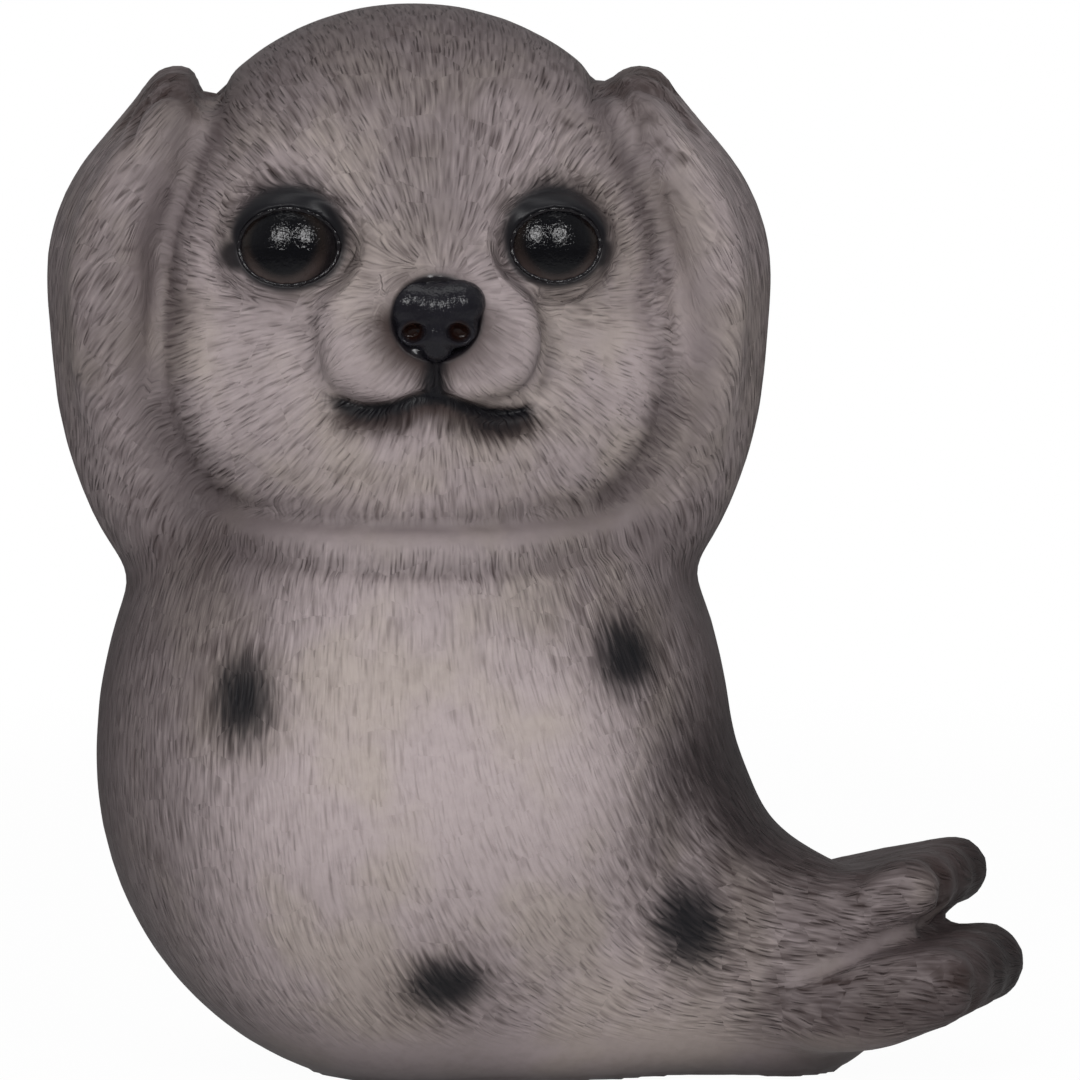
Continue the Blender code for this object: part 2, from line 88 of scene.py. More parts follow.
def places_of(piece):
    flat = np.empty(len(piece.data.vertices) * 3)
    piece.data.vertices.foreach_get("co", flat)
    return flat.reshape(-1, 3) * 1000


def normals_of(piece):
    flat = np.empty(len(piece.data.vertices) * 3)
    piece.data.vertices.foreach_get("normal", flat)
    return flat.reshape(-1, 3)


def put_places(piece, places):
    piece.data.vertices.foreach_set("co", (places / 1000).ravel())
    piece.data.update()


def soft_step(low, high, values):
    """A soft step from 0 at low to 1 at high, also where low lies above high."""
    share = np.clip((values - low) / (high - low), 0, 1)
    return share * share * (3 - 2 * share)


print("helpers ready in Blender", bpy.app.version_string)

# %% [markdown]
# ## The skin
#
# The packed solid has the right form but broad facets. A sculptor would lay fresh clay over it in an
# even skin. The voxel remesh does that to a copy: it wraps the form in small equal squares, which
# take tool marks alike everywhere. Its doubles are merged first, so that the remesh sees a closed
# shape, and a light smoothing takes its stairs away.

# %% Copy and remesh the skin
SKIN_GRAIN = 0.00068
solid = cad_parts["seal_figurine"]
skin = bpy.data.objects.new("seal_skin", solid.data.copy())
bpy.context.scene.collection.objects.link(skin)
skin.data.materials.clear()
hold(skin)
bpy.ops.object.mode_set(mode="EDIT")
bpy.ops.mesh.select_all(action="SELECT")
bpy.ops.mesh.remove_doubles(threshold=0.000001)
bpy.ops.object.mode_set(mode="OBJECT")
finish_with(skin, "REMESH", mode="VOXEL", voxel_size=SKIN_GRAIN)
finish_with(skin, "SMOOTH", factor=0.5, iterations=5)
print("skin after the remesh:", len(skin.data.polygons), "faces")

# %% [markdown]
# ## Finer clay on the face
#
# The eyelids and the lips are sharper than the belly, and small squares all over would make the file
# heavy. So faces near the eyes and the muzzle are selected by their place and subdivided, twice where
# the detail is finest. Vertices smooth eases the step between the two sizes.

# %% Refine the face
LEFT_EYE = np.array((-19.4, -17.0, 66.9))
RIGHT_EYE = np.array((1.3, -16.6, 66.9))
MUZZLE = np.array((-8.0, -20.0, 58.8))


def refine(piece, middle, reach):
    hold(piece)
    bpy.ops.object.mode_set(mode="EDIT")
    bpy.ops.mesh.select_mode(type="FACE")
    bpy.ops.mesh.select_all(action="DESELECT")
    bpy.ops.object.mode_set(mode="OBJECT")
    centres = np.empty(len(piece.data.polygons) * 3)
    piece.data.polygons.foreach_get("center", centres)
    gaps = np.linalg.norm(centres.reshape(-1, 3) * 1000 - middle, axis=1)
    piece.data.polygons.foreach_set("select", gaps < reach)
    bpy.ops.object.mode_set(mode="EDIT")
    bpy.ops.mesh.subdivide(number_cuts=1)
    bpy.ops.mesh.vertices_smooth(factor=0.5, repeat=4)
    bpy.ops.object.mode_set(mode="OBJECT")


for middle, wide, close in ((LEFT_EYE, 7.5, 5.8), (RIGHT_EYE, 7.5, 5.8), (MUZZLE, 10.5, 8.8)):
    refine(skin, middle, wide)
    refine(skin, middle, close)
print("skin after refining:", len(skin.data.polygons), "faces")

# %% [markdown]
# ## Where a tool touches the skin
#
# A path is drawn from the front, as places across and heights in millimetres, because that is how the
# photograph shows it. A ray sent from the front finds the skin behind each place. A soft curve
# through a few points saves writing many.


# %% Find places on the skin
class Front:
    """Rays that find a piece's skin from the front and from above."""

    def __init__(self, piece):
        self.tree = BVHTree.FromObject(piece, bpy.context.evaluated_depsgraph_get())

    def at(self, across, height):
        start = Vector((across, -200, height)) / 1000
        spot, _, _, _ = self.tree.ray_cast(start, Vector((0, 1, 0)))
        if spot is None:
            spot = self.tree.find_nearest(Vector((across, -15, height)) / 1000)[0]
        return np.array(spot) * 1000

    def above(self, across, back):
        start = Vector((across, back, 200)) / 1000
        return np.array(self.tree.ray_cast(start, Vector((0, 0, -1)))[0]) * 1000

    def along(self, line, step=0.15):
        spots = []
        for (x0, z0), (x1, z1) in zip(line, line[1:]):
            count = max(1, math.ceil(math.hypot(x1 - x0, z1 - z0) / step))
            for i in range(count):
                spots.append(self.at(x0 + (x1 - x0) * i / count, z0 + (z1 - z0) * i / count))
        spots.append(self.at(*line[-1]))
        return np.array(spots)


def smooth_line(points, cuts=6):
    """A soft curve through a few points."""
    points = [np.array(p, dtype=float) for p in points]
    padded = [2 * points[0] - points[1], *points, 2 * points[-1] - points[-2]]
    line = []
    for a, b, c, d in zip(padded, padded[1:], padded[2:], padded[3:]):
        for i in range(cuts):
            t = i / cuts
            line.append(0.5 * (2 * b + (c - a) * t + (2 * a - 5 * b + 4 * c - d) * t * t
                               + (3 * b - a - 3 * c + d) * t**3))
    line.append(points[-1])
    return [tuple(p) for p in line]


def gap_to(places, spots, reach):
    """The distance from each place to the nearest spot of a path, and that spot's share along it."""
    gaps = np.full(len(places), 1e3)
    share = np.zeros(len(places))
    near = np.all((places > spots.min(axis=0) - reach) & (places < spots.max(axis=0) + reach), axis=1)
    index = np.flatnonzero(near)
    for part in np.array_split(index, max(1, len(index) // 4000)):
        apart = np.linalg.norm(places[part][:, None] - spots[None], axis=2)
        gaps[part] = apart.min(axis=1)
        share[part] = apart.argmin(axis=1) / max(1, len(spots) - 1)
    return gaps, share


print("paths can be laid on the skin")

# %% [markdown]
# ## Pressing and swelling
#
# A stroke is a round-nosed tool drawn along a path: every point near the path sinks along its own
# normal, most on the path and less beside it, and the ends run out shallow. A swelling is a pinch of
# clay added under the skin. Both move points and make none, so the mesh stays closed.


# %% Tools that press and swell
def stroke(piece, spots, width, depth, taper=0.15):
    """Draws a tool along a path, width and depth in millimetres."""
    places, normals = places_of(piece), normals_of(piece)
    gaps, share = gap_to(places, spots, 3 * width)
    ends = np.clip(np.minimum(share, 1 - share) / taper + 0.15, 0, 1)
    press = depth * ends * np.exp(-((gaps / width) ** 2))
    put_places(piece, places - normals * press[:, None])


def swell(piece, spot, reach, rise):
    """Pushes a soft round swelling out of the skin, or a dent in where the rise is negative."""
    places, normals = places_of(piece), normals_of(piece)
    share = np.exp(-((np.linalg.norm(places - spot, axis=1) / reach) ** 2))
    put_places(piece, places + normals * (rise * share)[:, None])


print("tools ready: stroke and swell")

# %% [markdown]
# ## The lines of the face and the neck
#
# The mouth is two shallow arcs that meet under the nose, with a short groove up to it. A crease runs
# down beside each pad of the muzzle, and two folds run round the neck below the chin. Each is only a
# few points here, and the tool comes later.

# %% Draw the lines of the face and the neck
MOUTH_LEFT = smooth_line(
    [(-16.3, 55.4), (-15.0, 54.95), (-13.3, 54.55), (-11.5, 54.8), (-9.7, 55.4), (-8.1, 55.8)]
)
MOUTH_RIGHT = smooth_line(
    [(-7.9, 55.8), (-6.3, 55.1), (-4.6, 54.45), (-2.9, 54.15), (-1.4, 54.25), (-0.5, 54.7)]
)
PHILTRUM = smooth_line([(-7.9, 58.6), (-8.0, 57.2), (-8.0, 55.8)])
CHEEK_RIGHT = smooth_line([(-0.2, 63.6), (0.7, 60.6), (0.7, 57.6), (0.0, 55.0)])
CHEEK_LEFT = smooth_line([(-16.0, 61.8), (-16.9, 59.2), (-16.6, 56.0)])
CHIN_FOLD = smooth_line(
    [(-26.0, 47.7), (-23.3, 46.1), (-18.6, 45.5), (-7.7, 45.4), (1.5, 45.5), (6.2, 46.2), (8.6, 48.0)]
)
NECK_FOLD = smooth_line(
    [(-26.1, 44.0), (-23.3, 43.0), (-18.5, 42.2), (-7.7, 41.7), (1.5, 42.0), (7.0, 43.2), (9.3, 45.0)]
)
WRINKLES = [
    smooth_line([(-23.2, 66.2), (-24.4, 65.4), (-25.6, 65.2)]),
    smooth_line([(-22.8, 64.9), (-23.8, 64.2), (-25.0, 64.1)]),
    smooth_line([(-22.6, 67.9), (-23.8, 67.5), (-24.8, 67.6)]),
    smooth_line([(4.5, 66.3), (5.3, 65.6), (6.2, 65.4)]),
    smooth_line([(4.2, 65.1), (5.0, 64.5), (5.9, 64.4)]),
]
print("lines of the face and the neck:", 7 + len(WRINKLES))

# %% [markdown]
# ## The lines of the flippers
#
# The raised flippers lie against the head with a groove between, and their tips show thin edges of
# toes. The two hind flippers part at a fork. A fold marks the hip, and an arc the front toe of each.

# %% Draw the lines of the flippers
HEAD_EDGE_LEFT = smooth_line(
    [(-26.0, 77.3), (-27.5, 71.4), (-29.1, 66.0), (-29.9, 61.3), (-29.6, 56.6), (-28.3, 51.9), (-26.4, 48.0)]
)
HEAD_EDGE_RIGHT = smooth_line(
    [(6.2, 77.7), (8.1, 73.0), (10.1, 66.8), (11.3, 61.3), (10.9, 55.9), (8.5, 50.4), (6.2, 47.3)]
)
FORK = smooth_line([(20.0, 8.9), (23.5, 9.8), (28.0, 11.6), (32.4, 12.9)])
HIP_FOLD = smooth_line([(23.9, 14.6), (25.3, 16.0), (26.6, 17.1)])
UPPER_TOE = smooth_line([(31.0, 16.6), (32.2, 15.4), (31.6, 13.7)])
LOWER_TOE = smooth_line([(32.2, 9.2), (34.2, 7.9), (34.0, 5.4)])
TOE_EDGES = [
    smooth_line([(-32.0, 74.2), (-31.3, 76.4), (-30.1, 77.7), (-28.7, 78.2), (-27.6, 77.8), (-26.8, 76.6)]),
    smooth_line([(-33.0, 74.9), (-31.8, 77.0), (-30.5, 78.4), (-29.3, 79.2), (-28.2, 79.3)]),
    smooth_line([(7.6, 78.6), (9.2, 78.2), (10.8, 77.0), (12.1, 75.0)]),
    smooth_line([(8.3, 79.7), (9.6, 78.9), (11.4, 77.4), (12.9, 75.4)]),
    smooth_line([(5.4, 79.0), (6.6, 77.9), (7.6, 76.1), (8.2, 74.2)]),
]
print("lines of the flippers:", 6 + len(TOE_EDGES))

# %% [markdown]
# ## Press the lines in
#
# Every line has its own width and depth: the mouth is narrow and deep, the folds of the neck are
# shallow, and the wrinkles are scratches. A notch on each side of the crown is pressed from above,
# where the head meets a flipper. The pads of the muzzle get a little more clay.

# %% Press in the lines
front = Front(skin)
for line, width, depth in (
    (MOUTH_LEFT, 0.45, 0.6),
    (MOUTH_RIGHT, 0.45, 0.6),
    (PHILTRUM, 0.4, 0.4),
    (CHEEK_RIGHT, 0.6, 0.3),
    (CHEEK_LEFT, 1.2, 0.1),
    (CHIN_FOLD, 0.55, 0.35),
    (NECK_FOLD, 0.6, 0.25),
    (HEAD_EDGE_LEFT, 0.7, 0.3),
    (HEAD_EDGE_RIGHT, 0.7, 0.3),
    (FORK, 0.8, 0.4),
    (HIP_FOLD, 0.7, 0.4),
    (UPPER_TOE, 0.7, 0.3),
    (LOWER_TOE, 0.8, 0.35),
    *((edge, 0.5, 0.45) for edge in TOE_EDGES),
    *((wrinkle, 0.28, 0.22) for wrinkle in WRINKLES),
):
    stroke(skin, front.along(line), width, depth)
for across_mm, width, depth in ((-25.8, 1.1, 1.3), (4.7, 1.1, 0.6)):
    notch = np.array([front.above(across_mm, back) for back in np.arange(-9, 9.1, 0.3)])
    stroke(skin, notch, width, depth, 0.3)
swell(skin, front.at(-0.9, 60.2), 2.6, 0.75)
swell(skin, front.at(-1.4, 57.4), 2.0, 0.35)
swell(skin, front.at(-14.6, 57.6), 2.2, 0.25)
print("lines pressed in, skin now", round(float(np.ptp(places_of(skin)[:, 2])), 2), "mm high")

# %% [markdown]
# ## The eyes
#
# Each eye is a ball of the casting, painted dark and varnished thickly. A separate dome over the
# solid's eyeball lets the varnish stay perfectly round. It starts as a sphere, bisect cuts its back
# off where it sits inside the head, and the cut is filled, so the dome is closed. The two eyes look
# slightly to the sides, so each has its own directions out, across and up.

# %% Model the eye domes
# All in millimetres: the middles of the balls, and half the width and height of the openings.
EYES = {"left": Vector((-19.0, -12.85, 66.6)), "right": Vector((0.6, -12.65, 66.7))}
OPENING = {"left": (3.85, 2.95), "right": (3.45, 2.8)}
EYE_TILT = {"left": math.radians(-5), "right": math.radians(10)}
BALL_SIZE = 4.93
DOME_BACK = 2.6


def eye_frame(side):
    """The directions out of an eye, across it and up it."""
    turn, lift = EYE_TILT[side], math.radians(4)
    out = Vector((math.sin(turn) * math.cos(lift), -math.cos(turn) * math.cos(lift), math.sin(lift)))
    across = Vector((0, 0, 1)).cross(-out).normalized()
    across = -across if across.x < 0 else across
    return out, across, across.cross(out) * (1 if across.cross(out).z > 0 else -1)


def face_outwards(piece):
    """Turns all faces of a closed piece outwards."""
    hold(piece)
    bpy.ops.object.mode_set(mode="EDIT")
    bpy.ops.mesh.select_all(action="SELECT")
    bpy.ops.mesh.normals_make_consistent(inside=False)
    bpy.ops.object.mode_set(mode="OBJECT")


def eye_dome(side):
    """A sphere with its back cut off, placed in the head."""
    ball = EYES[side]
    out, _, _ = eye_frame(side)
    bpy.ops.object.select_all(action="DESELECT")
    bpy.ops.mesh.primitive_uv_sphere_add(
        segments=64, ring_count=40, radius=BALL_SIZE / 1000, location=ball / 1000
    )
    dome = bpy.context.object
    dome.name = dome.data.name = f"eye_{side}"
    bpy.ops.object.transform_apply(location=True, rotation=True, scale=True)
    bpy.ops.object.mode_set(mode="EDIT")
    bpy.ops.mesh.select_all(action="SELECT")
    cut = (ball + out * DOME_BACK) / 1000
    bpy.ops.mesh.bisect(plane_co=cut, plane_no=out, use_fill=True, clear_inner=True)
    bpy.ops.object.mode_set(mode="OBJECT")
    face_outwards(dome)
    bpy.ops.object.shade_smooth_by_angle(angle=math.radians(50))
    return dome


domes = {side: eye_dome(side) for side in EYES}
print("eye domes:", {side: len(dome.data.polygons) for side, dome in domes.items()})

# %% [markdown]
# ## The rims of the lids
#
# The painter draws a brush of thick gloss round each eyeball, and it stands up as a small uneven
# roll. A torus is such a roll already. Its points are read as two angles, one round the eye and one
# round the roll, and set out again along the edge of the opening, with the roll thicker above.

# %% Roll the rims of the lids
def lid_rim(side):
    """A torus set out again along the edge of an eye's opening."""
    bpy.ops.object.select_all(action="DESELECT")
    bpy.ops.mesh.primitive_torus_add(
        major_segments=144, minor_segments=14, major_radius=0.004, minor_radius=0.001
    )
    rim = bpy.context.object
    rim.name = rim.data.name = f"eye_rim_{side}"
    torus = places_of(rim)
    turn = np.arctan2(torus[:, 1], torus[:, 0])
    from_middle, lift = np.hypot(torus[:, 0], torus[:, 1]) - 4, torus[:, 2]
    thick = 0.18 + 0.05 * np.sin(turn) + 0.02 * np.sin(9 * turn + 1) + 0.025 * np.sin(23 * turn)
    out, across, up = (np.array(v) for v in eye_frame(side))
    half_wide, half_high = OPENING[side]
    wide, high = half_wide * np.cos(turn), half_high * np.sin(turn)
    deep = np.sqrt((BALL_SIZE + 0.05) ** 2 - wide**2 - high**2)
    slope = np.arctan2(np.sin(turn) / half_high, np.cos(turn) / half_wide)
    wide, high = wide + from_middle * thick * np.cos(slope), high + from_middle * thick * np.sin(slope)
    deep = deep + lift * thick
    around = wide[:, None] * across + high[:, None] * up
    put_places(rim, np.array(EYES[side]) + around + deep[:, None] * out)
    face_outwards(rim)
    bpy.ops.object.shade_smooth()
    return rim


rims = {side: lid_rim(side) for side in EYES}
print("rims:", {side: len(rim.data.polygons) for side, rim in rims.items()})

# %% [markdown]
# ## The nose
#
# The nose is a rounded wedge that stands on its tip: two lobes above, a wing round each nostril, and
# a narrow tip that runs into the lip. Seven balls are joined, remeshed into one lump and smoothed, as
# one would roll and press real clay.

# %% Model the nose
NOSE = Vector((-7.8, -21.0, 61.8))


def clay_ball(offset, size):
    spot = (NOSE + Vector(offset)) / 1000
    bpy.ops.mesh.primitive_uv_sphere_add(segments=32, ring_count=24, radius=0.001, location=spot)
    ball = bpy.context.object
    ball.scale = size
    bpy.ops.object.transform_apply(location=True, rotation=True, scale=True)
    return ball


bpy.ops.object.select_all(action="DESELECT")
lumps = []
for side in (-1, 1):
    lumps.append(clay_ball((1.75 * side - 0.2, 0.35, 1.0), (2.2, 2.3, 1.95)))
    lumps.append(clay_ball((1.5 * side - 0.1, 0.2, -0.9), (1.75, 2.0, 1.5)))
lumps.append(clay_ball((-0.1, 0.1, 0.6), (1.9, 2.35, 2.2)))
lumps.append(clay_ball((0, 0.1, -1.1), (1.6, 2.15, 1.6)))
lumps.append(clay_ball((-0.1, 0.35, -2.15), (1.35, 1.8, 1.45)))
bpy.ops.object.select_all(action="DESELECT")
for lump in lumps:
    lump.select_set(True)
bpy.context.view_layer.objects.active = lumps[0]
bpy.ops.object.join()
nose = bpy.context.object
nose.name = nose.data.name = "nose"
finish_with(nose, "REMESH", mode="VOXEL", voxel_size=0.00015)
finish_with(nose, "SMOOTH", factor=0.5, iterations=40)
print("nose:", len(nose.data.polygons), "faces")

# %% [markdown]
# ## The nostrils
#
# Clay is pushed up round each nostril first, and then a blunt oval tool goes straight back into it.
# A fourth power in the tool's shape gives the hole a flat floor and steep walls. The nose may not
# reach out of the solid's box, so it moves back until its front is inside.

# %% Press in the nostrils
tip = Front(nose)
for side in (-1, 1):
    x = NOSE.x - 0.1 + 1.75 * side
    swell(nose, tip.at(x, NOSE.z - 1.15), 1.5, 0.22)
spots = places_of(nose)
for side in (-1, 1):
    x = NOSE.x - 0.1 + 1.75 * side
    off_across, off_up = spots[:, 0] - x, spots[:, 2] - NOSE.z + 1.15
    gap = np.hypot(off_across / 0.86, (off_up + 0.15 * side * off_across) / 0.66)
    spots[:, 1] += 1.3 * np.exp(-(gap**4)) * (spots[:, 1] < NOSE.y + 0.3)
spots[:, 1] += max(0.0, cad_box[0][1] * 1000 + 0.01 - spots[:, 1].min())
put_places(nose, spots)
hold(nose)
bpy.ops.object.shade_smooth()
print("front of the nose at", round(spots[:, 1].min(), 2), "mm")

# %% [markdown]
# ## The eyelids
#
# The lids are part of the skin. Round each eye the skin is measured as an oval: below 1 it goes
# behind the dome, at 1 it lies on the dome's edge, and further out it falls back into its own form.
# The upper lid stands out more than the lower, with one fold in it. Behind the nose the skin sinks
# too, so that nothing shows through.

# %% Make room behind the nose and the domes
places, normals = places_of(skin), normals_of(skin)
beside_nose = np.hypot((places[:, 0] - NOSE.x + 0.1) / 3.4, (places[:, 2] - NOSE.z - 0.1) / 3.5)
hidden = np.clip((1.05 - beside_nose) / 0.3, 0, 1) * (places[:, 1] < -17)
places[:, 1] += 1.3 * hidden
for side, ball in EYES.items():
    away = places - np.array(ball)
    out, across, up = (np.array(v) for v in eye_frame(side))
    wide, high, deep = away @ across, away @ up, away @ out
    half_wide, half_high = OPENING[side]
    oval = np.maximum(np.hypot(wide / half_wide, high / half_high), 0.01)
    above = soft_step(-0.2, 0.8, high / half_high / oval)
    rim_deep = np.sqrt((BALL_SIZE + 0.05) ** 2 - (wide / oval) ** 2 - (high / oval) ** 2)
    behind = np.sqrt(np.maximum((BALL_SIZE - 0.3) ** 2 - wide**2 - high**2, 0.5))
    lid = rim_deep + 0.08 + 0.45 * above - 1.3 * np.maximum(oval - 1, 0)
    lid = behind + (lid - behind) * soft_step(0.97, 1.05, oval)
    lid = lid + (deep - lid) * soft_step(1.1, 1.65, oval)
    lid = lid - 0.22 * above * np.exp(-(((oval - 1.5) / 0.07) ** 2))
    cover = np.sqrt(np.maximum((BALL_SIZE + 0.08) ** 2 - wide**2 - high**2, 0))
    lid = np.where((oval > 1.04) & (cover > DOME_BACK - 0.2), np.maximum(lid, cover), lid)
    near = (deep > 0) & (oval < 1.65)
    places[near] += (out * (lid - deep)[:, None])[near]
low, high = (np.array(corner) * 1000 for corner in cad_box)
places = np.clip(places, low + (0.01, 0.01, 0), high - 0.01)
places[places[:, 2] < 0.25, 2] = 0.0
put_places(skin, places)
hold(skin)
bpy.ops.object.shade_smooth()
print("points moved back behind the nose:", int((hidden > 0).sum()))

# %% [markdown]
# ## The regions of the body
#
# Fur and paint change from the head to the body and the flippers. Two soft balls stand for the skull
# and the jaw, and a point outside both and far to the side belongs to a raised flipper. Each region
# is a share between 0 and 1, so one runs softly into the next.


# %% Find the regions of the body
places, normals = places_of(skin), normals_of(skin)
x, y, z = places.T
HEAD_MIDDLE = -9.4
skull = np.linalg.norm((places - (-9.4, -1.5, 65.5)) / (20.6, 18.5, 19.6), axis=1)
jaw = np.linalg.norm((places - (-9.4, -4.5, 56.0)) / (20.9, 15.5, 15.0), axis=1)
beside = np.abs(x - HEAD_MIDDLE)
flipper = soft_step(1.03, 1.10, np.minimum(skull, jaw)) * soft_step(15, 18, beside) * soft_step(40, 48, z)
in_muzzle = soft_step(17, 13, beside) * soft_step(44, 47, z)
head = np.clip(soft_step(1.12, 1.05, np.minimum(skull, jaw)) + in_muzzle, 0, 1)
head = head * soft_step(44.5, 46.5, z) * (1 - flipper)
hind = soft_step(10, 24, x) * soft_step(30, 18, z)
print("share of head, flippers, hind:", head.mean().round(2), flipper.mean().round(2), hind.mean().round(2))

# %% [markdown]
# ## Which way the fur lies
#
# Fur on a carved animal is combed: it starts at the nose and spreads over the head, runs down the
# chest, sweeps towards the hind flippers and follows the toes. Each point of the skin gets a
# direction from the regions it is in, laid flat on the surface. Attributes carry it to the material,
# because they ride with the mesh and need no picture.

# %% Comb the fur
from_nose = places - (-7.8, -19.0, 62.5)
from_nose /= np.linalg.norm(from_nose, axis=1)[:, None]
sweep = soft_step(-20, 60, x + 0.9 * (30 - z)) * math.pi / 2
down = np.stack((np.sin(sweep), 0.1 * np.sin(sweep), -np.cos(sweep)), axis=1)
side = np.sign(x - HEAD_MIDDLE)[:, None]
arm = np.concatenate((0.75 * side, 0.1 + 0 * side, -1 + 0 * side), axis=1)
toes = np.array((1.0, 0.12, -0.12)) + 0 * places
comb = from_nose * head[:, None] + arm * flipper[:, None] + toes * hind[:, None]
comb = comb + down * np.clip(1 - head - flipper - hind, 0, 1)[:, None]
comb -= normals * np.sum(comb * normals, axis=1)[:, None]
comb /= np.maximum(np.linalg.norm(comb, axis=1), 1e-6)[:, None]
across = np.cross(normals, comb)


def store(piece, name, values):
    kind, field = ("FLOAT", "value") if values.ndim == 1 else ("FLOAT_VECTOR", "vector")
    layer = piece.data.attributes.new(name, kind, "POINT")
    layer.data.foreach_set(field, values.astype(np.float32).ravel())


store(skin, "comb", comb)
store(skin, "across", across)
print("fur combed on", len(places), "points")

# %% [markdown]
# ## The sprayed paint
#
# The painter sprays thin clouds over a pale coat: a dusky one along the sides and on the crown,
# black ones for the spots and round the eyes, and an umber one under the lips. A cloud is a soft
# blob round a place on the skin, and clouds over one another never get darker than the paint.

# %% Spray the clouds
front = Front(skin)


def cloud(across_mm, height_mm, wide, high, tilt=0.0, edge=2.0):
    """How much of a soft blob, seen from the front, reaches each point."""
    spot = front.at(across_mm, height_mm)
    off = places - spot
    turn = math.radians(tilt)
    a = off[:, 0] * math.cos(turn) + off[:, 2] * math.sin(turn)
    b = -off[:, 0] * math.sin(turn) + off[:, 2] * math.cos(turn)
    reach = (a / wide) ** 2 + (b / high) ** 2 + (off[:, 1] / (1.6 * max(wide, high))) ** 2
    return np.exp(-(reach ** (edge / 2)) * 0.7)


def over(*layers):
    """Clouds sprayed one over the other."""
    left = np.ones(len(places))
    for layer in layers:
        left = left * (1 - np.clip(layer, 0, 1))
    return 1 - left


spot_share = cloud(-7.8, 30, 3, 3)
print("a cloud of 3 mm reaches", int((spot_share > 0.1).sum()), "points")

# %% [markdown]
# ## The hollows
#
# Every fold is painted darker, as painted shade. The folds are found from the shape itself: the
# skin's points are blurred along its edges, and where a point lies deeper than the blurred skin, it is in
# a hollow. The blurred normals also tell how far a place has turned away from the front.

# %% Find the hollows
edges = np.empty(len(skin.data.edges) * 2, dtype=np.int64)
skin.data.edges.foreach_get("vertices", edges)
edges = edges.reshape(-1, 2)
degree = np.maximum(np.bincount(edges.ravel(), minlength=len(places)), 1)


def blurred(values, passes):
    """Each value mixed with its neighbours' along the skin's edges, again and again."""
    for _ in range(passes):
        total = np.bincount(edges[:, 0], values[edges[:, 1]], len(places))
        total += np.bincount(edges[:, 1], values[edges[:, 0]], len(places))
        values = 0.4 * values + 0.6 * total / degree
    return values


soft_normal = np.stack([blurred(normals[:, i], 40) for i in range(3)], axis=1)
soft_normal /= np.linalg.norm(soft_normal, axis=1)[:, None]
soft_place = np.stack([blurred(places[:, i], 10) for i in range(3)], axis=1)
# How deep a point lies in a hollow; the dusk layer turns it into painted shade.
hollow = np.clip(np.sum((soft_place - places) * soft_normal, axis=1) / 0.12, 0, 1)
hollow = blurred(hollow, 3)
# How far a place turns from the front; the dusk layer uses it for painted shade on the sides.
turned = 1 + soft_normal[:, 1]
print("deepest hollows:", round(float(hollow.max()), 2))

# %% [markdown]
# ## How far the lines are
#
# Paint follows the modelled lines, so the distance from every point to each of them is measured once
# here. Three more shares are needed: the saddle, where the right flank turns away above the hind
# flippers and is darkened partly by its own dark paint and partly by painted shade, the flippers'
# tips, and the smooth strips that the engraver's tool left free.


# %% Measure the places that the paint follows
def gap_to_lines(lines, reach):
    """The distance to the nearest of several lines, in millimetres."""
    return np.minimum.reduce([gap_to(places, front.along(line), reach)[0] for line in lines])


body = np.clip(1 - head - flipper, 0, 1)
soft_body = blurred(body, 60)
head_edges = gap_to_lines((HEAD_EDGE_LEFT, HEAD_EDGE_RIGHT), 5)
facing = -normals[:, 1]
# The saddle is found by how far the flank turns from the front; its darkening is partly the hip's own dark
# paint and partly painted shade.
saddle = soft_step(0.94, 0.5, facing) * soft_step(0.1, 0.6, normals[:, 0] + normals[:, 2])
saddle = saddle * soft_step(2, 12, x) * soft_step(33, 26, x) * soft_step(35, 25, z) * soft_step(13.5, 20, z)
saddle = saddle * soft_step(-0.75, 0.2, facing)
tips = soft_step(32.0, 37.5, x + 1.5 * (z > 11.5)) * soft_step(30, 20, z)
fork_gap = gap_to_lines((FORK,), 3)
toe_gap = gap_to_lines((UPPER_TOE, LOWER_TOE), 3)
tip_gap = gap_to_lines(TOE_EDGES, 2)
band_gap = soft_step(1.1, 0.4, head_edges) * soft_step(79, 77, z) * soft_step(52, 60, z)
smooth_strip = over(soft_step(1.2, 0.2, fork_gap), 0.9 * cloud(23.5, 3.2, 5.5, 1.1, 3), 0.6 * band_gap)
print("points in the saddle:", int((saddle > 0.5).sum()), "at the tips:", int((tips > 0.5).sum()))
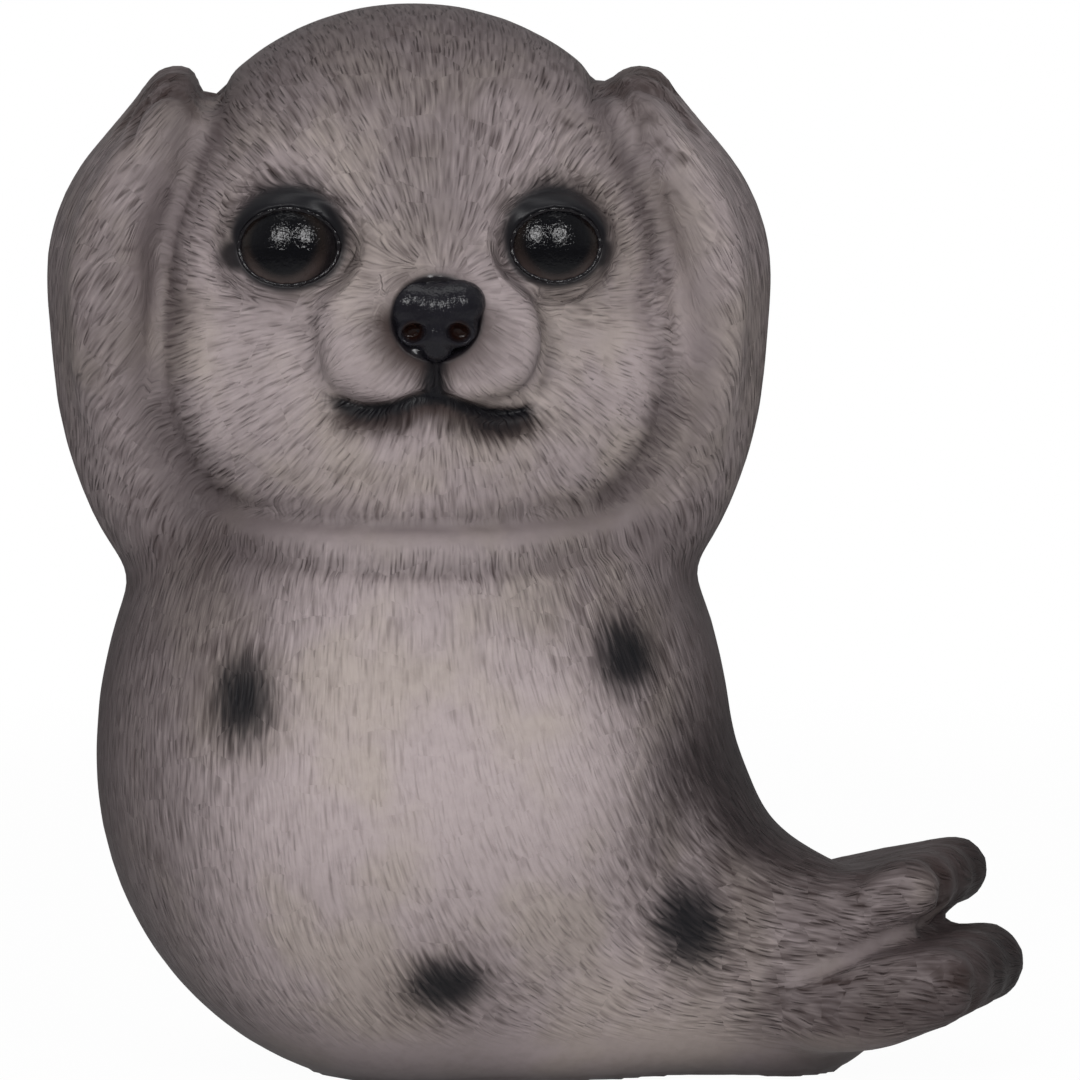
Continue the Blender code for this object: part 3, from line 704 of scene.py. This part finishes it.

# %% [markdown]
# ## The dusk and the painted shade
#
# The dusky brown-grey is the seal's coat colour. It covers the back, thins towards the chest and
# gathers on the crown, beside the head and on the flippers. The same layer also holds painted shade:
# it darkens the skin as it turns away from the front, in the hollows, along the neck's fold and over
# the saddle. Each line here is one pass: how strong it is, and where.

# %% Spray the dusk and paint the shade
dusk_and_shade = over(
    # The first two passes darken the skin as it turns away from the front: partly the coat's own darker
    # sides and back, partly painted shade.
    (0.94 - 0.2 * soft_step(1.1, 1.9, turned)) * soft_step(0.06, 0.8, turned) * soft_body,
    (0.6 + 0.12 * soft_step(1.1, 1.9, turned)) * soft_step(0.25, 1.0, turned) * (1 - soft_body),
    0.38 * cloud(-8.3, 73, 6, 11) * head,
    0.35 * head * soft_step(62, 74, z),
    0.5 * soft_step(76, 84, z) * head,
    0.5 * cloud(-21, 79, 6, 5) * head,
    0.68 * soft_step(6.0, 0.9, head_edges) * head * (x < -9),
    0.62 * soft_step(3.6, 0.9, head_edges) * head * (x > -9),
    0.25 * cloud(7.5, 72, 4, 6) * head,
    0.22 * in_muzzle * head,
    0.36 * flipper,
    0.25 * flipper * (x < -9),
    0.42 * soft_step(4.0, 1.3, head_edges) * flipper,
    0.20 * soft_step(33, 41, z) * body,
    0.22 * soft_step(26, 13, z) * soft_step(2, 7, z) * body,
    0.3 * cloud(-35, 63, 4, 9),
    0.25 * cloud(12.5, 50, 4, 5),
    0.35 * cloud(3.0, 40.0, 6, 5),
    0.25 * cloud(-21, 38.5, 4.5, 5),
    0.5 * cloud(-28, 38, 6, 10),
    0.6 * cloud(-25, 43, 5, 3.5),
    0.4 * cloud(9, 43, 4, 3),
    0.4 * cloud(11, 37, 4, 9),
    0.5 * cloud(-30, 22, 5, 14),
    # Over the saddle: partly the hip's dark paint, partly painted shade.
    0.97 * saddle,
    0.3 * cloud(18, 16, 5, 4),
    0.45 * hind,
    0.6 * hind * soft_step(10.5, 7, z),
    0.15 * cloud(8, 21.5, 4, 4),
    0.12 * cloud(-9.5, 36, 8, 5),
    0.9 * tips,
    0.5 * cloud(31.5, 6.5, 7, 2.5),
    0.6 * cloud(-27.8, 78.5, 3, 3.5),
    0.6 * cloud(7.4, 79.4, 3, 3.5),
    # Painted shade: a band along the neck's fold, and the hollows.
    0.2 * soft_step(3.0, 1.0, np.abs(z - 43.7)) * (y < 0),
    0.55 * hollow,
)
paler = over(
    0.8 * cloud(-17, 72.5, 3.2, 3.0),
    0.7 * cloud(-0.5, 72.5, 3.2, 3.0),
    0.6 * cloud(-14, 37.5, 5, 4),
    0.3 * cloud(6.3, 41.5, 3, 3),
    0.3 * cloud(8, 61.5, 3, 4),
    0.35 * cloud(12, 75, 3, 4),
)
dusk_and_shade = dusk_and_shade * (1 - 0.45 * smooth_strip) * (1 - 0.5 * paler)
print("mean share of dusk:", dusk_and_shade.mean().round(2))

# %% [markdown]
# ## The black spots
#
# Four spots sit on the belly and the flank, sprayed close so that their edges are short. Some black
# also deepens the saddle, the tips of the flippers and the corners under the lip. Round each spot the
# spray leaves a brown halo.

# %% Spray the spots
# Across, height, half the width, half the height, and the tilt in degrees.
SPOTS = (
    (-22.9, 32.0, 2.2, 3.2, 0),
    (6.7, 35.0, 2.3, 2.9, 20),
    (11.7, 13.4, 2.7, 3.6, 25),
    (-7.2, 9.6, 3.0, 2.3, 0),
)
ink = over(
    *(0.95 * cloud(*spot, 3.6) for spot in SPOTS),
    # Black over the saddle is partly its dark paint and partly painted shade.
    0.42 * saddle**1.5,
    0.5 * tips**2,
    0.72 * cloud(-3.2, 53.3, 2.5, 0.9),
    0.3 * cloud(-12.4, 53.8, 2.4, 0.8),
)
halo = over(*(0.6 * cloud(a, b, wide + 0.9, high + 1.0, tilt, 2.4) for a, b, wide, high, tilt in SPOTS))
print("spots:", len(SPOTS), "with ink on", int((ink > 0.5).sum()), "points")

# %% [markdown]
# ## Paint round the eyes
#
# The lids are brushed black, broader above than below, and run out in a corner at the outer side. A
# ring of spray softens them into the fur. All three are ovals measured in the eye's own directions,
# and a point behind the eye is kept out of them.

# %% Paint the eyelids
eye_rings = np.zeros(len(places))
lids = np.zeros(len(places))
for name, ball in EYES.items():
    out, wide_way, up_way = (np.array(v) for v in eye_frame(name))
    away = places - np.array(ball)
    wide, high, deep = away @ wide_way, away @ up_way, away @ out
    half_wide, half_high = OPENING[name]
    outward = wide * (-1 if name == "left" else 1)
    brim = 0.35 + 1.2 * soft_step(-0.6, 1.6, high)
    lid = np.hypot(wide / (half_wide + 0.35 + 0.3 * soft_step(-0.6, 1.6, high)), high / (half_high + brim))
    corner = np.hypot((outward - half_wide - 0.2) / (2.0 if name == "left" else 1.4), (high + 0.7) / 1.5)
    ring = np.hypot(wide / (half_wide + 2.1), (high - 1.0) / (half_high + 2.9))
    for share in (lid, corner, ring):
        share[deep < 0] = 9
    lids = np.maximum(lids, soft_step(1.14, 0.94, lid))
    lids = np.maximum(lids, 0.95 * soft_step(1.15, 0.5, corner))
    eye_rings = np.maximum(eye_rings, soft_step(1.1, 0.5, ring))
ink = over(ink, 0.8 * eye_rings**2, 0.95 * lids)
print("points on the painted lids:", int((lids > 0.5).sum()))

# %% [markdown]
# ## Paint on the mouth and round the nose
#
# Black stands in the line of the mouth and fades downwards, thinner in the middle than at the sides.
# It also fills the groove up to the nose and the seat of the nose itself. The distance to the mouth's
# path gives the line, and its sign, above or below, gives the fade its direction.

# %% Paint the mouth and the seat of the nose
FACE_BACK = -14
mouth = np.vstack([front.along(MOUTH_LEFT), front.along(MOUTH_RIGHT)])
lip_gap, lip_share = gap_to(places, mouth, 6)
lip_ends = soft_step(0, 0.1, lip_share) * soft_step(1, 0.92, lip_share)
line_gap, _ = gap_to(places, front.along(PHILTRUM), 3)
under = np.interp(x, mouth[:, 0], mouth[:, 2]) - z
from_middle = np.clip(np.abs(x + 7.9) / 2.5, 0, 1)
below_lip, above_lip = soft_step(0.75 + 0.6 * from_middle, 0.3, lip_gap), soft_step(0.45, 0.1, lip_gap)
lip = np.where(under > 0, below_lip, above_lip) * (0.25 + 0.75 * lip_ends)
philtrum = soft_step(1.5, 0.35, line_gap)
ink = over(ink, 0.97 * lip, 0.93 * philtrum, 0.55 * cloud(-7.95, 56.5, 1.2, 0.7))
nose_gap = np.hypot((x - NOSE.x + 0.1) / 3.65, (z - NOSE.z + 0.1) / 3.5)
nose_side = np.hypot((x - NOSE.x) / 5.6, (z - NOSE.z + 0.9) / 4.0)
nose_gap[y > FACE_BACK] = nose_side[y > FACE_BACK] = 9
ink = over(ink, 0.95 * soft_step(1.05, 0.9, nose_gap))
print("points with ink by now:", int((ink > 0.5).sum()))

# %% [markdown]
# ## The umber and the varnish
#
# Umber is the warm brown between the black and the coat: under the lips, beside the nose, round the
# eyes and the spots, and on the toes. Varnish is thin on the lids and the lip and full under the
# nose. Four shares are then stored for the material: the dusk with its painted shade, ink, umber and
# varnish.

# %% Spray the umber and store the paint
umber = over(
    halo,
    0.9 * soft_step(3.0, 0.8, lip_gap) * soft_step(-0.3, 0.3, under) * lip_ends,
    0.95 * cloud(-3.2, 53.1, 2.6, 1.2),
    0.6 * cloud(-12.4, 53.6, 2.6, 1.0),
    0.5 * soft_step(0.9, 0.3, lip_gap) * lip_ends,
    0.4 * soft_step(1.25, 0.95, nose_gap),
    0.85 * soft_step(1.3, 0.65, nose_side) * soft_step(1.6, -0.4, z - NOSE.z) * (1 - 0.3 * (x > NOSE.x)),
    0.6 * soft_step(2.2, 0.6, line_gap),
    0.6 * eye_rings,
    # Umber over the saddle is partly its paint and partly painted shade.
    0.35 * saddle,
    0.75 * tips,
    0.3 * hind,
    0.6 * soft_step(1.3, 0.2, toe_gap),
    0.55 * soft_step(0.9, 0.1, tip_gap),
    0.5 * cloud(-27.9, 79.4, 2.4, 1.6),
    0.5 * cloud(7.4, 79.6, 2.8, 1.5),
)
varnish = over(
    0.45 * lids,
    0.4 * soft_step(0.6, 0.25, lip_gap),
    0.6 * soft_step(0.7, 0.3, line_gap),
    soft_step(1.0, 0.92, nose_gap),
)
for name, layer in (("dusk_and_shade", dusk_and_shade), ("ink", ink), ("umber", umber), ("varnish", varnish)):
    store(skin, name, np.clip(layer, 0, 1))
    print("stored", name, "with a mean of", layer.mean().round(3))

# %% [markdown]
# ## Where the casting is smooth
#
# No hair is engraved on the foot, in the fold of the neck, on the lids and round the nose, and little
# on the pads of the muzzle. Hairs are cut boldest on the back, on the hind flippers and at the neck,
# and only lightly on the belly. Both are shares for the material again.

# %% Mark where hairs are cut, and how boldly
fold = front.along(CHIN_FOLD)
band = np.interp(x, fold[:, 0], fold[:, 2])
neck_band = soft_step(1.0, 0.6, np.abs(z - band + 0.9)) * (y < 0)
neck_band = neck_band * soft_step(-27, -24, x) * soft_step(9.5, 7, x)
flipper_band = soft_step(1.9, 1.2, np.abs(head_edges - 1.4)) * flipper
furred = soft_step(3.0, 6.5, z + 2 * hind) * (1 - neck_band) * (1 - 0.6 * flipper_band)
pads = np.exp(-((np.hypot((np.abs(x - NOSE.x) - 4.6) / 4.2, (z - 58.6) / 3.8)) ** 4)) * (y < FACE_BACK)
furred = furred * (1 - lids) * (1 - 0.7 * soft_step(1.35, 1.0, nose_gap))
furred = furred * (1 - 0.55 * pads) * (1 - smooth_strip)
store(skin, "furred", np.clip(furred, 0, 1))
bold = 0.05 + 0.5 * soft_step(0.06, 0.6, turned) + 0.85 * hind + 0.3 * head + 0.35 * flipper
bold = bold + 0.5 * soft_step(2.5, 0.5, np.abs(z - 42.5)) + 0.5 * soft_step(-10, 15, x) * soft_step(22, 8, z)
store(skin, "bold_fur", np.clip(bold, 0, 1))
print("share of the skin with fur:", furred.mean().round(2))

# %% [markdown]
# ## A shorthand for material nodes
#
# A procedural material is many small nodes. Placing each by hand is slow to write and to read, so
# this class adds one node for each call, gives it its inputs, and hands back its output.


# %% Wiring helpers
class Wiring:
    """Adds nodes to one material, each by its kind and its inputs."""

    def __init__(self, name):
        self.material = bpy.data.materials.new(name)
        self.material.use_nodes = True
        self.tree = self.material.node_tree
        self.shader = self.tree.nodes["Principled BSDF"]

    def plug(self, socket, value):
        if isinstance(value, bpy.types.NodeSocket):
            self.tree.links.new(value, socket)
        else:
            socket.default_value = value

    def new(self, kind):
        return self.tree.nodes.new("ShaderNode" + kind)

    def surface(self, name, value):
        """Sets one input of the material's own shader."""
        self.plug(self.shader.inputs[name], value)

    def split(self, kind, value):
        """The three parts of a colour or of a place."""
        node = self.new("Separate" + kind)
        self.plug(node.inputs[0], value)
        return node.outputs

    def sum(self, operation, *values, clamp=False):
        node = self.new("Math")
        node.operation, node.use_clamp = operation, clamp
        for socket, value in zip(node.inputs, values):
            self.plug(socket, value)
        return node.outputs[0]

    def times(self, *values):
        return self.sum("MULTIPLY", *values)

    def plus(self, *values):
        return self.sum("ADD", *values)

    def minus(self, *values):
        return self.sum("SUBTRACT", *values)

    def vector(self, operation, *values):
        node = self.new("VectorMath")
        node.operation = operation
        for socket, value in zip(node.inputs, values):
            self.plug(socket, value)
        return node.outputs["Value" if operation in ("DOT_PRODUCT", "LENGTH", "DISTANCE") else "Vector"]

    def attribute(self, name, output="Fac"):
        node = self.new("Attribute")
        node.attribute_name = name
        return node.outputs[output]

    def place(self):
        """The object coordinates in millimetres."""
        node = self.new("TexCoord")
        return self.vector("MULTIPLY", node.outputs["Object"], (1000, 1000, 1000))

    def noise(self, where, scale, detail=2.0, rough=0.5):
        node = self.new("TexNoise")
        self.plug(node.inputs["Vector"], where)
        node.inputs["Scale"].default_value = scale
        node.inputs["Detail"].default_value = detail
        node.inputs["Roughness"].default_value = rough
        return node.outputs["Fac"]

    def cells(self, where, scale, flat=False, jitter=1.0):
        node = self.new("TexVoronoi")
        node.voronoi_dimensions = "2D" if flat else "3D"
        self.plug(node.inputs["Vector"], where)
        node.inputs["Scale"].default_value = scale
        node.inputs["Randomness"].default_value = jitter
        return node.outputs

    def step(self, value, low, high):
        """A soft step from 0 at low to 1 at high."""
        node = self.new("MapRange")
        node.interpolation_type = "SMOOTHSTEP"
        backwards = low > high
        self.plug(node.inputs["Value"], value)
        node.inputs["From Min"].default_value = min(low, high)
        node.inputs["From Max"].default_value = max(low, high)
        node.inputs["To Min"].default_value = 1.0 if backwards else 0.0
        node.inputs["To Max"].default_value = 0.0 if backwards else 1.0
        return node.outputs[0]

    def tint(self, share, under, upper, blend="MIX"):
        node = self.new("Mix")
        node.data_type, node.blend_type = "RGBA", blend
        self.plug(node.inputs[0], share)
        self.plug(node.inputs[6], under if isinstance(under, bpy.types.NodeSocket) else (*under, 1))
        self.plug(node.inputs[7], upper if isinstance(upper, bpy.types.NodeSocket) else (*upper, 1))
        return node.outputs[2]

    def bump(self, height, depth, normal=None):
        node = self.new("Bump")
        node.inputs["Distance"].default_value = depth
        self.plug(node.inputs["Height"], height)
        if normal:
            self.plug(node.inputs["Normal"], normal)
        return node.outputs["Normal"]


print("kinds of node:", [name for name in vars(Wiring) if name[0] != "_"])

# %% [markdown]
# ## A material made of short strokes
#
# An engraver cuts fur one short groove at a time, a handful of them side by side, then the next
# handful. The material does the same. A Voronoi texture breaks the skin into tufts, and a place
# within a tuft is measured along and across the combing. A second one, stretched in that direction,
# gives each hair a narrow cell, and the groove is drawn down the middle of the cell.


# %% Draw the hairs
def combed(w, place, tuft):
    """The place within a tuft, across and along the combing, and how close to the tuft's middle it is."""
    tufts = w.cells(place, 1 / tuft)
    off = w.vector("SUBTRACT", place, tufts["Position"])
    split = w.split("Color", tufts["Color"])
    along = w.vector("DOT_PRODUCT", off, w.attribute("comb", "Vector"))
    beside = w.vector("DOT_PRODUCT", off, w.attribute("across", "Vector"))
    bend = w.times(w.minus(split[0], 0.5), 0.10)
    beside = w.plus(beside, w.times(bend, w.times(along, along)))
    return beside, along, split[1], split[2], w.step(tufts["Distance"], 0.95, 0.6)


def stretched(w, tuft, pitch, length):
    """Coordinates in which one unit is one hair wide and one hair long."""
    beside, along, seed, other_seed, _ = tuft
    join = w.new("CombineXYZ")
    w.plug(join.inputs[0], w.plus(w.sum("DIVIDE", beside, pitch), w.times(seed, 40)))
    w.plug(join.inputs[1], w.plus(w.sum("DIVIDE", along, length), w.times(other_seed, 40)))
    return join.outputs[0]


def grooves_of(w, tuft, pitch, length, line, keep):
    """Single cut grooves: 1 in the middle of a groove and 0 beside it."""
    where = stretched(w, tuft, pitch, length)
    strand = w.cells(where, 1.0, flat=True, jitter=0.9)
    pair = w.split("XYZ", w.vector("SUBTRACT", where, strand["Position"]))
    thin = w.step(w.sum("ABSOLUTE", pair[0]), line / pitch, 0.0)
    ends = w.step(w.sum("ABSOLUTE", pair[1]), 0.6, 0.05)
    pick = w.split("Color", strand["Color"])
    strong = w.step(pick[0], 1 - keep, 1.1)
    return w.times(w.times(thin, ends), w.times(strong, tuft[4]))


def ridges_of(w, tuft, pitch, length):
    """Soft ridges side by side, around 0."""
    grain = w.noise(stretched(w, tuft, pitch, length), 1.0, 1, 0.4)
    return w.times(w.minus(grain, 0.5), tuft[4])


print("hairs can be drawn along the combing")

# %% [markdown]
# ## The hairs of the coat
#
# Two sizes of tuft lie over one another, so that no gap shows between tufts. The fine hairs are a
# third of a millimetre apart and the coarse ones half a millimetre. The pale coat under them drifts a
# little between warm and cool, as sprayed paint does. Colours are written as linear red, green, blue.

# %% Lay the pale coat and the hairs
PALE = (0.400, 0.338, 0.340)
CREAM = (0.395, 0.337, 0.312)
DUSK_AND_SHADE = (0.058, 0.044, 0.046)
INK = (0.004, 0.004, 0.006)
UMBER = (0.026, 0.014, 0.012)
WASH = (0.075, 0.052, 0.048)
CUT = (0.024, 0.016, 0.015)
SMALL_TUFT, LARGE_TUFT = 3.3, 4.3

w = Wiring("fur_paint")
place = w.place()
small = combed(w, place, SMALL_TUFT)
large = combed(w, w.vector("ADD", place, (17.0, 5.0, 9.0)), LARGE_TUFT)
fine = grooves_of(w, small, 0.34, 1.9, 0.10, 0.9)
coarse = grooves_of(w, large, 0.52, 2.9, 0.12, 0.8)
small_ridges = ridges_of(w, small, 0.33, 2.6)
ridges = w.plus(small_ridges, ridges_of(w, large, 0.4, 3.2))
furred = w.attribute("furred")
bold = w.attribute("bold_fur")
grooves = w.times(w.sum("MAXIMUM", fine, coarse), furred)
patches = w.noise(place, 0.11, 3)
mottle = w.noise(place, 0.9, 3, 0.6)
coat = w.tint(w.step(patches, 0.42, 0.66), PALE, CREAM)
coat = w.tint(w.times(w.step(mottle, 0.35, 0.75), 0.12), coat, DUSK_AND_SHADE)
shaded = w.times(w.times(ridges, furred), -1.0)
print("nodes for the coat and its hairs:", len(w.tree.nodes))

# %% [markdown]
# ## The layers of paint
#
# The layers go on in the painter's order: the dusk with its painted shade, the wash between the
# hairs, the dark of each cut groove, umber and last the black. Where a sprayed edge is half clear,
# the hairs under it break it up, so an edge looks brushed along the fur and not airbrushed over it.


# %% Paint the layers
def streaked(name):
    """A sprayed layer whose soft edge breaks up along the fur."""
    layer = w.attribute(name)
    edge = w.times(w.times(layer, w.minus(1.0, layer)), 4.0)
    torn = w.plus(w.times(grooves, 0.3), w.times(shaded, 1.2))
    return w.sum("ADD", layer, w.times(edge, w.times(torn, 0.5)), clamp=True)


# The dusk layer holds the coat's dusk and the painted shade of the sides, the hollows and the saddle.
coat = w.tint(streaked("dusk_and_shade"), coat, DUSK_AND_SHADE)
coat = w.tint(w.times(w.step(shaded, 0.0, 0.45), 0.3), coat, WASH)
coat = w.tint(w.times(grooves, w.plus(0.04, w.times(bold, 0.75))), coat, CUT)
coat = w.tint(streaked("umber"), coat, UMBER)
coat = w.tint(streaked("ink"), coat, INK)
w.surface("Base Color", coat)
print("nodes with the paint:", len(w.tree.nodes))

# %% [markdown]
# ## Satin, gloss and relief
#
# The lacquer over the paint is satin, and glossy only where varnish was brushed on. The engraving is
# too fine for the mesh, so a bump gives it its depth of a tenth of a millimetre. Only the fine tufts
# go into the bump: it works everything out three times, and the coarse ones show by their colour.

# %% Finish the skin's material
FUR_DEPTH = 0.00010
w.surface("Specular IOR Level", 0.22)
gloss = w.attribute("varnish")
rough = w.plus(0.5, w.times(mottle, 0.16))
satin = w.times(rough, w.minus(1.0, gloss))
w.surface("Roughness", w.plus(satin, w.times(gloss, 0.14)))
cuts = w.times(fine, w.plus(0.3, bold))
relief = w.minus(w.times(small_ridges, 1.7), cuts)
w.surface("Normal", w.bump(w.times(relief, furred), FUR_DEPTH))
skin.data.materials.append(w.material)
print("nodes in the skin's material:", len(w.tree.nodes))

# %% [markdown]
# ## Varnish on the eyes
#
# The eyes are black in the middle and a very dark brown round it, warmer and lighter towards the
# bottom: partly the iris's paint and partly a painted reflection of the pale floor below. Their
# varnish is thick and slightly grainy, so a lamp's reflection breaks into small bright flakes: two
# noises in the bump do that. The colour is a set of rings round the front of the ball.


# %% Varnish the eyes
def varnished(name, grain_size, grain_depth):
    """A clear coat whose bump is grain_depth metres deep."""
    w = Wiring(name)
    place = w.place()
    flakes = w.noise(place, grain_size, 3, 0.6)
    specks = w.noise(place, 8.0, 2, 0.5)
    w.surface("Roughness", 0.03)
    w.surface("IOR", 1.38)
    w.surface("Normal", w.bump(specks, 0.000006, w.bump(flakes, grain_depth)))
    return w, place


for side, dome in domes.items():
    w, place = varnished(f"eye_varnish_{side}", 2.6, 0.00006)
    out, _, _ = eye_frame(side)
    middle = EYES[side] + out * BALL_SIZE + Vector((-0.35 if side == "left" else 0.0, 0, 0.25))
    off = w.vector("SUBTRACT", place, tuple(middle))
    radius = w.vector("LENGTH", off)
    split = w.split("XYZ", off)
    lower = w.step(split[2], 0.0, -2.6)
    colour = w.tint(w.step(radius, 2.4, 3.2), (0.002, 0.002, 0.003), (0.009, 0.006, 0.005))
    # The lighter brown towards the bottom is partly the iris's paint and partly a painted reflection of the
    # floor.
    colour = w.tint(w.times(lower, w.step(radius, 2.2, 3.3)), colour, (0.040, 0.029, 0.027))
    colour = w.tint(w.step(radius, 3.2, 4.0), colour, (0.006, 0.005, 0.006))
    w.surface("Base Color", colour)
    dome.data.materials.append(w.material)
print("varnished:", [dome.name for dome in domes.values()])

# %% [markdown]
# ## Varnish on the rims and the nose
#
# The rims and the nose have the same varnish over black paint that isn't quite even. The nose is a
# little rougher, so its flakes are broader. Inside the nostrils the paint is a very dark brown: the
# distance to each of their middles, mirrored at the middle of the nose, finds them.

# %% Varnish the rims and the nose
w, place = varnished("rim_varnish", 3.2, 0.00005)
w.surface("Roughness", 0.1)
black = w.tint(w.noise(place, 1.5), (0.005, 0.005, 0.006), (0.014, 0.012, 0.014))
w.surface("Base Color", black)
for rim in rims.values():
    rim.data.materials.append(w.material)

w, place = varnished("nose_varnish", 1.9, 0.00010)
w.surface("Roughness", 0.12)
w.surface("IOR", 1.3)
off = w.vector("SUBTRACT", place, tuple(NOSE + Vector((0, -1.6, -1.0))))
split = w.split("XYZ", off)
across_nose = w.minus(w.sum("ABSOLUTE", w.plus(split[0], 0.1)), 1.78)
up_nose = split[2]
squares = w.plus(w.times(across_nose, across_nose), w.times(up_nose, up_nose))
hole = w.sum("SQRT", squares)
black = w.tint(w.noise(place, 0.8), (0.006, 0.006, 0.008), (0.014, 0.013, 0.017))
w.surface("Base Color", w.tint(w.step(hole, 1.0, 0.55), black, (0.010, 0.004, 0.003)))
nose.data.materials.append(w.material)
print("varnished:", [rim.name for rim in rims.values()], nose.name)

# %% [markdown]
# ## Every piece rides on the one body
#
# The ornament is one casting, so all pieces ride on the root body. The skin stands for the solid,
# and the solid itself is hidden.

# %% Attach the pieces
for piece in (skin, nose, *domes.values(), *rims.values()):
    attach(piece, "root")
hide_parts("seal_figurine")
print("pieces attached:", 2 + len(domes) + len(rims))

# %% [markdown]
# ## The floor
#
# A white floor runs to the horizon. For the camera it glows at a strength of 1, which is white, and
# near the ornament it keeps a little of its shadow. In the varnish it looks dimmer the further away it
# is, as a table in a studio does, or the eyes would show a hard horizon.


# %% Lay the floor
def aim(thing, target):
    thing.rotation_mode = "QUATERNION"
    thing.rotation_quaternion = (target - thing.location).to_track_quat("-Z", "Y")


bpy.ops.object.select_all(action="DESELECT")
bpy.ops.mesh.primitive_plane_add(size=12, location=(0, 0, 0))
floor = bpy.context.object
floor.name = "floor"
w = Wiring("white_floor")
w.surface("Base Color", (0.86, 0.86, 0.86, 1))
w.surface("Roughness", 0.7)
glow = w.new("Emission")
path = w.new("LightPath")
away_from_it = w.vector("LENGTH", w.place())
pool = w.step(away_from_it, 240.0, 30.0)
shadowed = w.step(away_from_it, 260.0, 160.0)
mirrored = w.sum("MAXIMUM", path.outputs["Is Glossy Ray"], path.outputs["Is Transmission Ray"])
seen = w.sum("MAXIMUM", path.outputs["Is Camera Ray"], mirrored)
dim = w.plus(0.12, w.times(pool, 0.4))
w.plug(glow.inputs["Strength"], w.sum("MAXIMUM", path.outputs["Is Camera Ray"], dim))
mix = w.new("MixShader")
w.plug(mix.inputs[0], w.times(seen, w.minus(1.0, w.times(shadowed, 0.03))))
w.plug(mix.inputs[1], w.shader.outputs[0])
w.plug(mix.inputs[2], glow.outputs[0])
w.plug(w.tree.nodes["Material Output"].inputs["Surface"], mix.outputs[0])
floor.data.materials.append(w.material)
print("floor of", round(floor.dimensions.x), "m laid")

# %% [markdown]
# ## The room
#
# The world is white for the camera too. As light it is plain and soft: dim in front of the ornament,
# where the photographer stands, and brighter behind it. The direction comes from the world's own
# coordinates, and a Light Path node keeps the two uses apart.

# %% Light the room
world = bpy.data.worlds.new("studio")
bpy.context.scene.world = world
world.use_nodes = True
links, nodes = world.node_tree.links, world.node_tree.nodes
where = nodes.new("ShaderNodeTexCoord")
split = nodes.new("ShaderNodeSeparateXYZ")
room = nodes.new("ShaderNodeMapRange")
room.inputs["From Min"].default_value = -1.0
room.inputs["To Min"].default_value = 0.12
room.inputs["To Max"].default_value = 0.50
links.new(where.outputs["Generated"], split.inputs[0])
links.new(split.outputs[1], room.inputs["Value"])
path = nodes.new("ShaderNodeLightPath")
level = nodes.new("ShaderNodeMath")
level.operation = "MAXIMUM"
links.new(path.outputs["Is Camera Ray"], level.inputs[0])
links.new(room.outputs[0], level.inputs[1])
nodes["Background"].inputs["Color"].default_value = (1, 1, 1, 1)
links.new(level.outputs[0], nodes["Background"].inputs["Strength"])
print("room light rises to", round(room.inputs["To Max"].default_value, 2))

# %% [markdown]
# ## The lamps
#
# Two softboxes stand left and right above the camera: they give the paired glints in the eyes. A
# small bare lamp adds the spark between them, and a large softbox overhead keeps the shadows soft. An
# angle round the face and one above it are enough to place each.


# %% Set up the lamps
FACE = Vector((-0.008, -0.015, 0.06))


def softbox(name, azimuth, elevation, distance, wide, high, power):
    turn, lift = math.radians(azimuth), math.radians(elevation)
    lamp = bpy.data.objects.new(name, bpy.data.lights.new(name, "AREA"))
    bpy.context.scene.collection.objects.link(lamp)
    lamp.data.shape, lamp.data.energy = "RECTANGLE", power
    lamp.data.size, lamp.data.size_y = wide, high
    level = math.cos(lift)
    way = Vector((math.sin(turn) * level, -math.cos(turn) * level, math.sin(lift)))
    lamp.location = FACE + distance * way
    aim(lamp, FACE)


softbox("softbox_left", -24, 24, 0.8, 0.2, 0.26, 2.4)
softbox("softbox_right", 24, 24, 0.8, 0.18, 0.26, 2.25)
softbox("spark", 4, 29, 0.8, 0.035, 0.035, 0.3)
softbox("softbox_top", 0, 84, 0.9, 0.8, 0.5, 2.1)

# %% [markdown]
# ## The camera
#
# The camera looks at the middle of the ornament from slightly above, as the photographer did. Its
# lens is worked out backwards, from how many metres one pixel should cover at that distance.

# %% Place the camera
MIDDLE = Vector((0, 0, 0.0425))
PIXELS = 1080
lens = bpy.data.cameras.new("camera")
camera = bpy.data.objects.new("camera", lens)
bpy.context.scene.collection.objects.link(camera)
CAMERA_LIFT, CAMERA_DISTANCE, PIXEL = math.radians(6), 0.6, 0.0000792
camera.location = MIDDLE + CAMERA_DISTANCE * Vector((0, -math.cos(CAMERA_LIFT), math.sin(CAMERA_LIFT)))
aim(camera, MIDDLE)
lens.sensor_width = 36
lens.lens = lens.sensor_width * CAMERA_DISTANCE / (PIXELS * PIXEL)
lens.clip_start = 0.01
bpy.context.scene.camera = camera
bpy.context.scene.view_settings.view_transform = "Standard"
print("lens of", round(lens.lens, 1), "mm")

# %% [markdown]
# The dressed ornament may not be larger than its solid.
